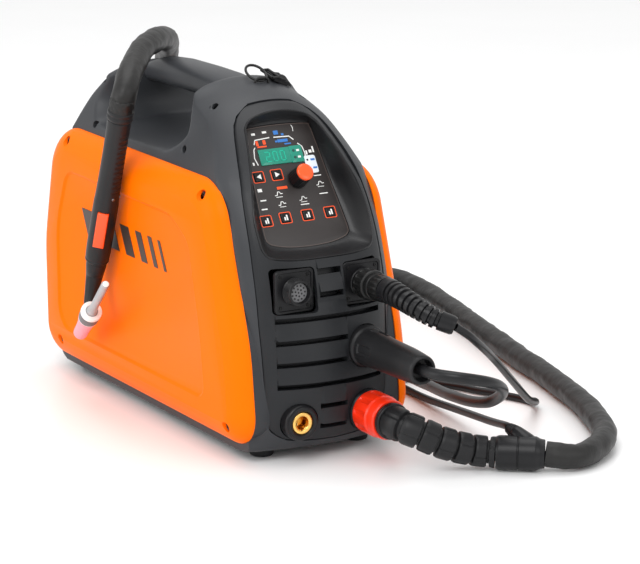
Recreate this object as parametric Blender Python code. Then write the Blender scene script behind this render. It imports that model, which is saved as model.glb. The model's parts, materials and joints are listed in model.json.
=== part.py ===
"""TIG welding machine with its torch, return lead and control lead.

Frame: metres, +Z up. The front faces -Y, +X is the right-hand side seen from the front, and the origin
lies on the floor under the middle of the machine.
"""

import math

import bmesh
import bpy
from mathutils import Matrix, Vector

# ---------------------------------------------------------------- driving dimensions
GAP = 0.0003
WALL = 0.003
SIDE_SHARE = 0.93          # the side wall lies at this share of the half width
MIDDLE_SHARE = 0.0022      # the two housing halves meet this share away from the middle
BASE_Z = 0.009
TRAY_Z = 0.0025

# Half width of the body against height: straight sides that close in above the side panels.
SHOULDER_Z = 0.260
HALF_WIDTHS = [(0.0, 0.084), (SHOULDER_Z, 0.084), (0.340, 0.0508)]

# Side outline of the body at its middle plane: (y, z, depth of the rounding towards the sides).
NOSE = 0.045
FRONT_PROFILE = [(-0.205, 0.0092, 0.008), (-0.215, 0.014, 0.030), (-0.225, 0.028, NOSE), (-0.229, 0.045,
                                                                                          NOSE),
                 (-0.229, 0.075, NOSE), (-0.2275, 0.105, NOSE), (-0.2245, 0.135, NOSE),
                 (-0.2215, 0.162, NOSE), (-0.214, 0.190, NOSE), (-0.203, 0.220, NOSE),
                 (-0.187, 0.250, NOSE), (-0.165, 0.280, 0.042), (-0.140, 0.303, 0.036),
                 (-0.115, 0.319, 0.030)]
TOP_FRONT = [(-0.090, 0.330, 0.030), (-0.065, 0.336, 0.028), (-0.045, 0.337, 0.020)]
SADDLE = [(-0.038, 0.315, 0.032), (-0.036, 0.295, 0.045), (-0.030, 0.280, 0.020), (-0.015, 0.273, 0.006),
          (0.045, 0.272, 0.006), (0.100, 0.273, 0.006)]
REAR_TOWER = [(0.112, 0.280, 0.016), (0.116, 0.295, 0.022), (0.113, 0.316, 0.013), (0.122, 0.3295, 0.018),
              (0.138, 0.322, 0.022), (0.156, 0.306, 0.025), (0.170, 0.286, 0.027)]
REAR_PROFILE = [(0.181, 0.262, 0.026), (0.196, 0.236, 0.025), (0.210, 0.205, 0.025), (0.218, 0.170, 0.025),
                (0.220, 0.130, 0.025), (0.220, 0.060, 0.025), (0.215, 0.030, 0.020), (0.205, 0.014, 0.010),
                (0.190, BASE_Z, 0.002)]
UNDERSIDE = [(0.165, BASE_Z, 0.0), (0.0, BASE_Z, 0.0), (-0.165, BASE_Z, 0.0), (-0.190, BASE_Z, 0.002)]
# Roof of the hollow inside under the rear tower, point for point with it.
CAVITY_ROOF = [(0.108, 0.2725, 0.006), (0.114, 0.272, 0.006), (0.120, 0.272, 0.006), (0.127, 0.272, 0.006),
               (0.135, 0.2715, 0.006), (0.144, 0.2705, 0.006), (0.153, 0.2685, 0.008)]

# Half width of the dark front insert against height.
INSERT_WIDTHS = [(0.018, 0.0540), (0.029, 0.0616), (0.064, 0.0655), (0.111, 0.0675), (0.158, 0.0690),
                 (0.203, 0.0685), (0.246, 0.0662), (0.279, 0.0605), (0.305, 0.0515), (0.318, 0.0430),
                 (0.3235, 0.0350)]
INSERT_THICK = 0.005

# Tilted control panel: its lower middle point and how far it leans back from upright.
PANEL_FOOT = Vector((0.0, -0.1757, 0.2077))
PANEL_LEAN = math.radians(32.8)
PANEL_THICK = 0.0025
# Edge of the control panel from its foot to its head, right half, in its own plane.
PANEL_EDGE = [(0.0, -0.0130), (0.022, -0.0118), (0.037, -0.0085), (0.0432, -0.0050), (0.0455, 0.0010),
              (0.0437, 0.0250), (0.0408, 0.0570), (0.0380, 0.0950), (0.0366, 0.1060), (0.0325, 0.1105),
              (0.0, 0.1120)]
# Rim of the recess round it, where it meets the front: half width and height of the front there.
RECESS_RIM = [(0.0, 0.1942), (0.030, 0.1950), (0.050, 0.1985), (0.0570, 0.2050), (0.0592, 0.2170),
              (0.0588, 0.2400), (0.0500, 0.2760), (0.0405, 0.3030), (0.0365, 0.3100), (0.0260, 0.3140),
              (0.0, 0.3155)]
BUTTON_SIZE = 0.0090
ARROW_BUTTONS = [("arrow_button_left", -0.0334, 0.0610), ("arrow_button_right", -0.0136, 0.0613)]
MODE_BUTTONS = [("mode_button_1", -0.0385, 0.0170), ("mode_button_2", -0.0177, 0.0179),
                ("mode_button_3", 0.0062, 0.0180), ("mode_button_4", 0.0309, 0.0181)]
KNOB_PLACE = (0.0062, 0.0545)
KNOB_RADIUS = 0.0095
KNOB_HEIGHT = 0.0175
DISPLAY_BOX = (-0.0268, 0.0200, 0.0718, 0.0877)

# Connectors on the front.
SOCKET_X = 0.0365
CONTROL_SOCKET_Z = 0.165
CONTROL_SOCKET_Y = -0.2155
CONTROL_TILT = math.radians(2.0)
PLATE_SIZE = 0.041
BRASS_SOCKET = Vector((-0.036, -0.2262, 0.041))
TORCH_SOCKET = Vector((0.036, -0.2262, 0.043))
RETURN_SOCKET = Vector((0.036, -0.2262, 0.105))
BOOT_LENGTH = 0.0990
REAR_FAN_Z = 0.1160
REAR_FITTING_Z = 0.0470

# Torch, hanging against the left side panel.
TORCH_TOP = Vector((-0.1110, -0.0125, 0.3095))
TORCH_GRIP_END = Vector((-0.1110, 0.0465, 0.1490))
TORCH_HEAD = Vector((-0.1220, 0.0413, 0.0963))
CUP_WAY = Vector((0.157, 0.790, -0.593))
TRIGGER_WAY = Vector((-0.56, -0.79, -0.22))
GRIP_RADIUS = 0.0120
TRIGGER_LOW, TRIGGER_HIGH = 0.1100, 0.1490

# Cords.
HOSE_DIAMETER = 0.024
CONTROL_DIAMETER = 0.0075
RETURN_DIAMETER = 0.011
COIL_CENTRE = Vector((0.267, 0.270, 0.0))
COIL_RADIUS = 0.066
COIL_ACROSS = 3
COIL_LAYERS = 4

HOSE_ROUTE = [(0.1499, -0.3579, 0.0163), (0.1600, -0.3642, 0.0148), (0.1790, -0.3690, 0.0128),
              (0.200, -0.361, 0.0125), (0.223, -0.345, 0.0125), (0.243, -0.322, 0.0125),
              (0.259, -0.292, 0.0125), (0.274, -0.257, 0.0125), (0.288, -0.215, 0.0125),
              (0.300, -0.170, 0.0125), (0.311, -0.125, 0.0125), (0.321, -0.075, 0.0125),
              (0.334, -0.015, 0.0125), (0.348, 0.045, 0.0125), (0.362, 0.105, 0.0125),
              (0.376, 0.165, 0.0125), (0.388, 0.225, 0.0125), (0.391, 0.285, 0.0125),
              (0.375, 0.340, 0.0125), (0.335, 0.380, 0.0125), (0.280, 0.395, 0.0125),
              (0.220, 0.385, 0.016), (0.165, 0.355, 0.035), (0.125, 0.317, 0.080),
              (0.098, 0.283, 0.140), (0.078, 0.254, 0.205), (0.060, 0.224, 0.265),
              (0.043, 0.190, 0.309), (0.024, 0.150, 0.338), (0.000, 0.110, 0.3515),
              (-0.028, 0.076, 0.3575), (-0.056, 0.048, 0.3550), (-0.078, 0.0220, 0.3475),
              (-0.0960, 0.0000, 0.3385), (-0.1083, -0.0145, 0.3260), (-0.1110, -0.0135, 0.3127)]

CONTROL_ROUTE = [(0.1335, -0.3208, 0.0350), (0.1351, -0.3140, 0.0348), (0.1447, -0.2725, 0.027),
                 (0.1558, -0.2212, 0.019),
                 (0.1666, -0.1688, 0.011), (0.1728, -0.1224, 0.0055), (0.175, -0.091, 0.004),
                 (0.177, -0.061, 0.004), (0.183, -0.043, 0.004), (0.1925, -0.037, 0.004),
                 (0.2025, -0.043, 0.004), (0.2090, -0.059, 0.004), (0.2153, -0.0745, 0.004),
                 (0.227, -0.094, 0.004), (0.234, -0.111, 0.004), (0.242, -0.126, 0.004),
                 (0.2485, -0.140, 0.004), (0.2555, -0.156, 0.004), (0.2595, -0.171, 0.0042),
                 (0.2575, -0.184, 0.0065), (0.2480, -0.197, 0.012), (0.2216, -0.2238, 0.025),
                 (0.1816, -0.2596, 0.055), (0.145, -0.288, 0.085), (0.128, -0.2995, 0.099),
                 (0.112, -0.3130, 0.1105), (0.096, -0.3245, 0.1220), (0.081, -0.3310, 0.1335),
                 (0.0678, -0.3290, 0.1431)]

RETURN_ROUTE = [(0.0361, -0.3268, 0.105), (0.0385, -0.343, 0.1055), (0.049, -0.358, 0.105),
                (0.065, -0.365, 0.102), (0.084, -0.363, 0.096), (0.102, -0.352, 0.087),
                (0.116, -0.336, 0.076), (0.1235, -0.317, 0.0645), (0.1255, -0.296, 0.0545),
                (0.130, -0.262, 0.046), (0.1365, -0.225, 0.040), (0.146, -0.187, 0.034),
                (0.156, -0.150, 0.029), (0.166, -0.115, 0.0235), (0.173, -0.085, 0.020),
                (0.179, -0.050, 0.0165), (0.184, -0.010, 0.0135), (0.188, 0.040, 0.009),
                (0.190, 0.090, 0.0065), (0.190, 0.140, 0.006), (0.1885, 0.190, 0.006),
                (0.1820, 0.240, 0.006)]


# ---------------------------------------------------------------- helpers
def clear_scene():
    for old in list(bpy.data.objects):
        bpy.data.objects.remove(old, do_unlink=True)


def between(table, value):
    """Value read from a table of (position, result) pairs, straight between its entries."""
    for (a, ra), (b, rb) in zip(table, table[1:]):
        if value <= b:
            share = max(0.0, (value - a) / (b - a))
            return ra + (rb - ra) * share
    return table[-1][1]


def material(name, colour, roughness, metallic=0.0, alpha=1.0):
    mat = bpy.data.materials.get(name)
    if mat:
        return mat
    mat = bpy.data.materials.new(name)
    mat.use_nodes = True
    shader = mat.node_tree.nodes["Principled BSDF"]
    shader.inputs["Base Color"].default_value = (*colour, 1.0)
    shader.inputs["Roughness"].default_value = roughness
    shader.inputs["Metallic"].default_value = metallic
    shader.inputs["Alpha"].default_value = alpha
    mat.diffuse_color = (*colour, alpha)
    return mat


def charcoal():
    return material("charcoal_plastic", (0.115, 0.118, 0.125), 0.45)


def dark_plastic():
    return material("dark_plastic", (0.045, 0.045, 0.048), 0.5)


def black_rubber():
    return material("black_rubber", (0.020, 0.020, 0.021), 0.6)


def orange():
    return material("orange_plastic", (1.0, 0.20, 0.004), 0.30)


def red():
    return material("red_plastic", (0.85, 0.030, 0.005), 0.32)


def accent():
    return material("accent_orange", (0.95, 0.090, 0.012), 0.35)


def steel():
    return material("steel", (0.55, 0.56, 0.58), 0.30, 1.0)


def brass():
    return material("brass", (0.80, 0.52, 0.18), 0.25, 1.0)


def aluminium():
    return material("aluminium", (0.70, 0.71, 0.73), 0.35, 1.0)


def circuit_board():
    return material("circuit_board", (0.02, 0.16, 0.07), 0.5)


def show(name, mesh, mat, frame=None, place=None):
    """An object with one material, placed in a frame and then within it."""
    obj = bpy.data.objects.new(name, mesh)
    bpy.context.scene.collection.objects.link(obj)
    if mat:
        mesh.materials.append(mat)
    obj.matrix_world = (frame or Matrix.Identity(4)) @ (place or Matrix.Identity(4))
    return obj


def mesh_from(name, points, faces, smooth_angle=math.radians(35)):
    mesh = bpy.data.meshes.new(name)
    mesh.from_pydata([tuple(p) for p in points], [], faces)
    mesh.validate()
    if signed_volume(mesh) < 0:
        mesh.flip_normals()
    mesh.shade_smooth()
    mesh.set_sharp_from_angle(angle=smooth_angle)
    return mesh


def signed_volume(mesh):
    mesh.calc_loop_triangles()
    total = 0.0
    for triangle in mesh.loop_triangles:
        a, b, c = (mesh.vertices[i].co for i in triangle.vertices)
        total += a.dot(b.cross(c))
    return total / 6.0


def loft(name, rings, closed=False):
    """Closed body through rings of equal count. The ends are capped, or joined if closed."""
    count = len(rings[0])
    points = [p for ring in rings for p in ring]
    faces = []
    last = len(rings) if closed else len(rings) - 1
    for k in range(last):
        low = k * count
        high = ((k + 1) % len(rings)) * count
        for i in range(count):
            j = (i + 1) % count
            faces.append((low + i, low + j, high + j, high + i))
    if not closed:
        faces.append(tuple(reversed(range(count))))
        faces.append(tuple(range((len(rings) - 1) * count, len(rings) * count)))
    return mesh_from(name, points, faces)


def circle(radius, segments, z=0.0, squash=1.0):
    step = 2 * math.pi / segments
    return [Vector((radius * math.cos(i * step), radius * squash * math.sin(i * step),
                    z)) for i in range(segments)]


def turned(name, profile, segments=20, ring=False):
    """Solid turned about +Z from (radius, height) pairs. A ring profile closes on itself."""
    return loft(name, [circle(r, segments, z) for r, z in profile], closed=ring)


def block(name, low, high):
    (x0, y0, z0), (x1, y1, z1) = low, high
    rings = [[Vector((x0, y0, z)), Vector((x1, y0, z)), Vector((x1, y1, z)), Vector((x0, y1, z))]
             for z in (z0, z1)]
    return loft(name, rings)


def prism(name, outline, low, high):
    """Outline in XY pushed from height low to height high."""
    return loft(name, [[Vector((x, y, z)) for x, y in outline] for z in (low, high)])


def along(origin, way, side=Vector((0, 0, 1))):
    """Matrix whose +Z runs along way, at origin, and whose +X lies towards side."""
    z = Vector(way).normalized()
    x = (Vector(side) - z * Vector(side).dot(z))
    if x.length < 1e-6:
        x = Vector((1, 0, 0)) - z * z.x
    x.normalize()
    y = z.cross(x)
    turn = Matrix((x, y, z)).transposed().to_4x4()
    return Matrix.Translation(Vector(origin)) @ turn


def cut_with(obj, cutter, kind="DIFFERENCE", solver="EXACT"):
    cutter.hide_render = True
    cutter.display_type = "WIRE"
    step = obj.modifiers.new(f"{kind.lower()}_{cutter.name}", "BOOLEAN")
    step.operation = kind
    step.object = cutter
    step.solver = solver
    return obj


def smooth_curve(points, spacing):
    """Points at an even spacing on a smooth curve through the given points."""
    way = [Vector(p) for p in points]
    ends = [way[0] * 2 - way[1]] + way + [way[-1] * 2 - way[-2]]
    fine = []
    for a, b, c, d in zip(ends, ends[1:], ends[2:], ends[3:]):
        for k in range(24):
            t = k / 24
            fine.append(0.5 * ((2 * b) + (c - a) * t + (2 * a - 5 * b + 4 * c - d) * t * t
                               + (3 * b - a - 3 * c + d) * t ** 3))
    fine.append(way[-1])
    length = sum((q - p).length for p, q in zip(fine, fine[1:]))
    count = max(2, round(length / spacing))
    step = length / count
    result = [fine[0]]
    run = 0.0
    for p, q in zip(fine, fine[1:]):
        size = (q - p).length
        while run + size >= step * len(result) and len(result) < count:
            result.append(p.lerp(q, (step * len(result) - run) / size))
        run += size
    result.append(fine[-1])
    return result


def with_fine_end(points, fine, reach):
    """The same route with closer points over its last stretch."""
    step = (points[1] - points[0]).length
    kept = [p for k, p in enumerate(points) if (len(points) - 1 - k) * step > reach]
    tail = [p for k, p in enumerate(fine) if (fine[-1] - p).length <= reach - step * 0.4]
    return kept + tail


def cord(name, route, diameter, mat, spacing, resolution=2):
    """Round cord with closed ends along a route."""
    points = with_fine_end(smooth_curve(route, spacing), smooth_curve(route, diameter / 2), spacing * 2)
    curve = bpy.data.curves.new(name, "CURVE")
    curve.dimensions = "3D"
    curve.bevel_depth = diameter / 2
    curve.bevel_resolution = resolution
    curve.use_fill_caps = True
    spline = curve.splines.new("POLY")
    spline.points.add(len(points) - 1)
    for slot, p in zip(spline.points, points):
        slot.co = (*p, 1.0)
    curve.materials.append(mat)
    obj = bpy.data.objects.new(name, curve)
    bpy.context.scene.collection.objects.link(obj)
    return obj


def sweep(name, route, radii, segments=14, spacing=0.008):
    """Round solid along a route, its radius read along its length."""
    points = smooth_curve(route, spacing)
    rings = []
    side = Vector((0, 0, 1))
    for i, p in enumerate(points):
        way = points[min(i + 1, len(points) - 1)] - points[max(i - 1, 0)]
        frame = along(p, way, side)
        radius = between(radii, i / (len(points) - 1))
        rings.append([frame @ c for c in circle(radius, segments)])
    return loft(name, rings)


# ---------------------------------------------------------------- body surface
def body_profile(roof=REAR_TOWER):
    return FRONT_PROFILE + TOP_FRONT + SADDLE + roof + REAR_PROFILE + UNDERSIDE


def inward(points, i, wrap=True):
    """Unit vector into the material at a corner of an outline that runs clockwise seen from -X."""
    count = len(points)
    before = points[(i - 1) % count] if wrap else points[max(i - 1, 0)]
    after = points[(i + 1) % count] if wrap else points[min(i + 1, count - 1)]
    way = Vector((after[0] - before[0], after[1] - before[1])).normalized()
    return Vector((way.y, -way.x))


def skin(point, normal, share, extra=0.0, side=1, narrower=0.0):
    """Point on the body's skin: share of the half width out from the middle, extra inward."""
    y, z, depth = point
    inset = depth * (1 - math.sqrt(max(0.0, 1 - share * share))) + extra
    y += normal.x * inset
    z += normal.y * inset
    half = between(HALF_WIDTHS, z) - narrower
    return Vector((side * share * half, y, z))


def housing_mesh(name, side):
    profile = body_profile()
    cavity = body_profile(CAVITY_ROOF)
    normals = [inward(profile, i) for i in range(len(profile))]
    within = [inward(cavity, i) for i in range(len(cavity))]
    shares = (MIDDLE_SHARE, 0.30, 0.50, 0.68, 0.82, SIDE_SHARE)
    outer = [[skin(p, n, share, 0.0, side) for p, n in zip(profile, normals)] for share in reversed(shares)]
    shares = (MIDDLE_SHARE, 0.50, 0.75, SIDE_SHARE)
    inner = [[skin(p, n, share, WALL, side, WALL * share) for p, n in zip(cavity,
                                                                          within)] for share in shares]
    for point, rim in zip(inner[0], outer[-1]):
        point.x = rim.x
    mesh = loft(name, outer + inner)
    split_at_height(mesh, SHOULDER_Z)
    return mesh


def split_at_height(mesh, height):
    """Edges across the faces at one height, so that the side wall folds there."""
    bm = bmesh.new()
    bm.from_mesh(mesh)
    parts = bm.verts[:] + bm.edges[:] + bm.faces[:]
    bmesh.ops.bisect_plane(bm, geom=parts, dist=1e-6, plane_co=(0, 0, height), plane_no=(0, 0, 1))
    bm.to_mesh(mesh)
    bm.free()


def handle_mesh(name, side):
    """Half of the carrying bar: its outline from the front root to the rear root."""
    top = [(-0.058, 0.3345), (-0.030, 0.3375), (0.020, 0.3380), (0.075, 0.3370), (0.102, 0.3345),
           (0.122, 0.3290)]
    low = [(0.124, 0.3060), (0.100, 0.3095), (0.060, 0.3095), (0.015, 0.3100), (-0.020, 0.3105),
           (-0.054, 0.3120)]
    outline = [(y, z, 0.0) for y, z in top + low]
    shares = [(0.0002, 0.0), (0.0120, 0.0010), (0.0175, 0.0035), (0.0205, 0.0060), (0.0220, 0.0090)]
    rings = []
    for x, inset in shares:
        ring = []
        for i, (y, z, _) in enumerate(outline):
            n = inward(outline, i)
            ring.append(Vector((side * x, y + n.x * inset, z + n.y * inset)))
        rings.append(ring)
    return loft(name, rings)


def front_insert_mesh(name, grow, outside, inside):
    """The part of the front between the two housing halves, as a plate of its own."""
    low_edge = (-0.2190, 0.0190, 0.038)
    rows = [low_edge] + FRONT_PROFILE[2:] + [(-0.1055, 0.3235, 0.030)]
    whole = [FRONT_PROFILE[1]] + rows + [TOP_FRONT[0]]
    columns = (-1.0, -0.72, -0.38, 0.0, 0.38, 0.72, 1.0)
    outer, inner = [], []
    for k, row in enumerate(rows):
        normal = inward(whole, k + 1)
        edge = between(INSERT_WIDTHS, row[1]) + grow
        half = between(HALF_WIDTHS, row[1])
        slide = {0: -grow, len(rows) - 1: grow}.get(k, 0.0)
        way = Vector((-normal.y, normal.x)) * slide
        base = (row[0] + way.x, row[1] + way.y, row[2])
        for store, extra in ((outer, -outside), (inner, inside)):
            line = []
            for t in columns:
                share = t * edge / half
                p = skin(base, normal, abs(share), extra, 1 if t >= 0 else -1)
                p.x = t * edge
                line.append(p)
            store.append(line)
    rings = []
    for line_out, line_in in zip(outer, inner):
        rings.append(line_out + list(reversed(line_in)))
    return loft(name, rings)


def build_housing():
    for name, side in (("housing_left", -1), ("housing_right", 1)):
        half = show(name, housing_mesh(name, side), charcoal())
        bar = show(f"{name}_bar", handle_mesh(f"{name}_bar", side), None)
        cut_with(half, bar, "UNION")
        rear = show(f"{name}_rear_cut", block(f"{name}_rear_cut", (-0.0624, 0.1900, 0.0296),
                                              (0.0624, 0.2400, 0.1984)),
                    None)
        cut_with(half, rear)
        floor = show(f"{name}_floor_cut", block(f"{name}_floor_cut", (-0.0664, -0.1604, -0.010),
                                                (0.0664, 0.1604, 0.020)), None)
        cut_with(half, floor)
        opening = show(f"{name}_front_cut", front_insert_mesh(f"{name}_front_cut", 0.0010, 0.011, 0.009),
                       None)
        cut_with(half, opening)


# ---------------------------------------------------------------- side panels
def panel_outline():
    """Outline of a side panel in (y, z), with its corners rounded as arcs."""
    corners = [(-0.2195, 0.0175, 0.030), (-0.2080, 0.1100, 0.20), (-0.1570, 0.2610, 0.048),
               (0.186, 0.2610, 0.052), (0.2140, 0.1400, 0.16), (0.2120, 0.0175, 0.034)]
    points = []
    count = len(corners)
    for i, (y, z, radius) in enumerate(corners):
        here = Vector((y, z))
        before = (Vector(corners[i - 1][:2]) - here).normalized()
        after = (Vector(corners[(i + 1) % count][:2]) - here).normalized()
        half_angle = before.angle(after) / 2
        reach = radius / math.tan(half_angle)
        centre = here + (before + after).normalized() * (radius / math.sin(half_angle))
        start = here + before * reach - centre
        end = here + after * reach - centre
        steps = 5 if radius < 0.1 else 3
        for k in range(steps + 1):
            t = k / steps
            turned_way = start.lerp(end, t).normalized() * radius
            points.append(centre + turned_way)
    return points


def side_panel_mesh(name, side):
    outline = panel_outline()
    pairs = [(p.x, p.y, 0.0) for p in outline]
    normals = [inward(pairs, i) for i in range(len(pairs))]
    seat = 0.0787
    outer = [(0.0, seat), (0.0004, 0.0815), (0.0030, 0.0860), (0.0075, 0.0903), (0.0140, 0.0942),
             (0.0220, 0.0972)]
    inner = [(0.0235, 0.0942), (0.0155, 0.0913), (0.0100, 0.0880), (0.0062, 0.0840), (0.0036, seat)]

    def ring(inset, x):
        return [Vector((side * x, y + n.x * inset, z + n.y * inset)) for (y, z, _), n in zip(pairs, normals)]

    rings = [ring(*pair) for pair in reversed(outer)] + [ring(*pair) for pair in reversed(inner)]
    return loft(name, rings)


def build_side_panels():
    for name, side in (("side_panel_left", -1), ("side_panel_right", 1)):
        show(name, side_panel_mesh(name, side), orange())


# ---------------------------------------------------------------- control panel
def panel_matrix():
    up = Vector((0.0, math.sin(PANEL_LEAN), math.cos(PANEL_LEAN)))
    out = Vector((0.0, -math.cos(PANEL_LEAN), math.sin(PANEL_LEAN)))
    turn = Matrix((Vector((1, 0, 0)), up, out)).transposed().to_4x4()
    return Matrix.Translation(PANEL_FOOT) @ turn


def mirrored(half):
    """Whole outline from its right half, running from the foot up the right side and down the left."""
    return half + [(-x, y) for x, y in reversed(half[1:-1])]


def grown(points, extra):
    """Outline moved outward by extra. It runs anticlockwise."""
    moved = []
    for i, (x, y) in enumerate(points):
        n = inward(points, i)
        moved.append((x + n.x * extra, y + n.y * extra))
    return moved


def to_panel(point):
    return panel_matrix().inverted() @ point


def recess_rim():
    """Rim of the recess in the panel's frame, lying on the front surface."""
    places = []
    profile = FRONT_PROFILE + TOP_FRONT
    for x, height in RECESS_RIM:
        for i in range(len(profile) - 1):
            (y0, z0, d0), (y1, z1, d1) = profile[i], profile[i + 1]
            if z0 <= height <= z1:
                t = (height - z0) / (z1 - z0)
                point = (y0 + (y1 - y0) * t, height, d0 + (d1 - d0) * t)
                way = Vector((y1 - y0, z1 - z0)).normalized()
                normal = Vector((way.y, -way.x))
                place = skin(point, normal, x / between(HALF_WIDTHS, height), 0.0004)
                place.x = x
                places.append(to_panel(place))
                break
    left = [Vector((-p.x, p.y, p.z)) for p in reversed(places[1:-1])]
    return places + left


def build_bezel(frame):
    """Sunk frame round the control panel, with its rim flush with the front insert."""
    rim = recess_rim()
    seat = grown(mirrored(PANEL_EDGE), 0.0005)
    wall = 0.0020
    under = -PANEL_THICK - GAP
    outer_low = [Vector((x, y, under - 0.002)) for x, y in grown(seat, wall)]
    outer_high = [Vector((x, y, p.z)) for (x, y), p in zip(grown([(p.x, p.y) for p in rim], wall), rim)]
    inner_high = [Vector(p) for p in rim]
    inner_seat = [Vector((x, y, 0.0004)) for x, y in seat]
    inner_low = [Vector((x, y, under)) for x, y in seat]
    mesh = loft("panel_bezel", [outer_low, outer_high, inner_high, inner_seat, inner_low])
    show("panel_bezel", mesh, dark_plastic(), frame, Matrix.Identity(4))
    return grown([(p.x, p.y) for p in rim], wall + 0.0004)


def build_panel(frame):
    plate = show("control_panel", prism("control_panel", mirrored(PANEL_EDGE), -PANEL_THICK, 0.0),
                 material("panel_label", (0.060, 0.052, 0.048), 0.5), frame, Matrix.Identity(4))
    hole = BUTTON_SIZE / 2 + 0.0003
    for name, x, y in ARROW_BUTTONS + MODE_BUTTONS:
        cutter = show(f"{name}_hole", block(f"{name}_hole", (-hole, -hole, -0.005), (hole, hole, 0.005)),
                      None, frame, Matrix.Translation((x, y, 0)))
        cut_with(plate, cutter)
        half = BUTTON_SIZE / 2
        inset = half - 0.0008
        rings = [[Vector((a * h, b * h, z)) for a, b in ((-1, -1), (1, -1), (1, 1), (-1, 1))]
                 for h, z in ((half, -0.0017), (half, 0.0007), (inset, 0.0012))]
        show(name, loft(name, rings), black_rubber(), frame, Matrix.Translation((x, y, 0)))
    x0, x1, y0, y1 = DISPLAY_BOX
    show("display_window", block("display_window", (x0, y0, GAP), (x1, y1, 0.0014)),
         material("display_glass", (0.0, 0.22, 0.16), 0.15), frame, Matrix.Identity(4))


def build_knob(frame):
    place = Matrix.Translation((*KNOB_PLACE, 0.0))
    r = KNOB_RADIUS
    knob = [(r * 0.96, 0.0006), (r, 0.0016), (r * 0.94, KNOB_HEIGHT - 0.0012), (r * 0.86, KNOB_HEIGHT)]
    show("control_knob", turned("control_knob", knob, 20), black_rubber(), frame, place)
    cap = [(r * 0.89, KNOB_HEIGHT + GAP), (r * 0.89, KNOB_HEIGHT + 0.0016), (r * 0.80, KNOB_HEIGHT + 0.0026)]
    show("knob_cap", turned("knob_cap", cap, 20), accent(), frame, place)


def build_front():
    fascia = show("front_fascia", front_insert_mesh("front_fascia", 0.0, 0.0, INSERT_THICK), dark_plastic())
    frame = panel_matrix()
    rim = build_bezel(frame)
    pocket = show("panel_pocket", prism("panel_pocket", rim, -0.03, 0.05), None, frame, Matrix.Identity(4))
    cut_with(fascia, pocket)
    build_panel(frame)
    build_knob(frame)
    half = PLATE_SIZE / 2 + GAP
    for side in (-1, 1):
        hole = show(f"plate_hole_{side}", block(f"plate_hole_{side}", (-half, -half, -0.02),
                                                (half, half, 0.03)), None,
                    None, along((side * SOCKET_X, CONTROL_SOCKET_Y, CONTROL_SOCKET_Z), control_way()))
        cut_with(fascia, hole)
    for name, at, radius in (("brass_hole", BRASS_SOCKET, 0.0175), ("torch_hole", TORCH_SOCKET, 0.0200),
                             ("return_hole", RETURN_SOCKET, 0.0205)):
        hole = show(name, turned(name, [(radius + GAP, -0.02), (radius + GAP, 0.03)], 24), None, None,
                    along(at, (0, -1, 0)))
        cut_with(fascia, hole)
    slots = [(-0.0125, 0.0125, 0.1810), (-0.0125, 0.0125, 0.1600), (-0.056, 0.056, 0.1385), (-0.056, 0.0150,
                                                                                             0.1175),
             (-0.056, 0.0135, 0.0965), (-0.056, 0.056, 0.0755), (-0.0130, 0.0115, 0.0545), (-0.0130, 0.0115,
                                                                                            0.0345)]
    for k, (x0, x1, z) in enumerate(slots):
        name = f"louvre_cut_{k}"
        cut_with(fascia, show(name, block(name, (x0, -0.245, z - 0.0028), (x1, -0.195, z + 0.0028)), None))


# ---------------------------------------------------------------- connectors
def control_way():
    return Vector((0.0, -math.cos(CONTROL_TILT), math.sin(CONTROL_TILT)))


def build_control_connectors():
    half = PLATE_SIZE / 2
    for name, side, reach in (("control_socket_open", -1, 0.0115), ("control_socket_used", 1, 0.0050)):
        place = along((side * SOCKET_X, CONTROL_SOCKET_Y, CONTROL_SOCKET_Z), control_way())
        plate = show(name, block(name, (-half, -half, -0.0035), (half, half, 0.0)), black_rubber(), None,
                     place)
        boss = show(f"{name}_boss", turned(f"{name}_boss", [(0.0123, -0.002), (0.0123, reach)], 20), None,
                    None, place)
        cut_with(plate, boss, "UNION")
        if side < 0:
            bore = show("socket_bore", turned("socket_bore", [(0.0094, 0.0015), (0.0094, 0.03)], 16), None,
                        None, place)
            cut_with(plate, bore)
    start = Vector((SOCKET_X, CONTROL_SOCKET_Y, CONTROL_SOCKET_Z))
    place = along(start, control_way())
    plug = [(0.0112, 0.0055), (0.0112, 0.0225), (0.0128, 0.0232), (0.0128, 0.0400), (0.0118, 0.0440)]
    show("control_plug", turned("control_plug", plug, 18), black_rubber(), None, place)
    ring = [(0.0116, 0.0056), (0.0140, 0.0056), (0.0146, 0.0075), (0.0146, 0.0205), (0.0138, 0.0222),
            (0.0116, 0.0222)]
    show("control_plug_ring", turned("control_plug_ring", ring, 20, ring=True),
         material("gunmetal", (0.16, 0.16, 0.15), 0.35, 0.8), None, place)
    relief = [start + control_way() * 0.0456, (0.0370, -0.2700, 0.1660), (0.0382, -0.2870, 0.1635),
              (0.0430, -0.3040, 0.1580), (0.0520, -0.3180, 0.1510), (0.0650, -0.3273, 0.1447)]
    show("control_strain_relief",
         sweep("control_strain_relief", relief, [(0, 0.0122), (0.85, 0.0088), (1, 0.0082)],
               12), black_rubber())


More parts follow.
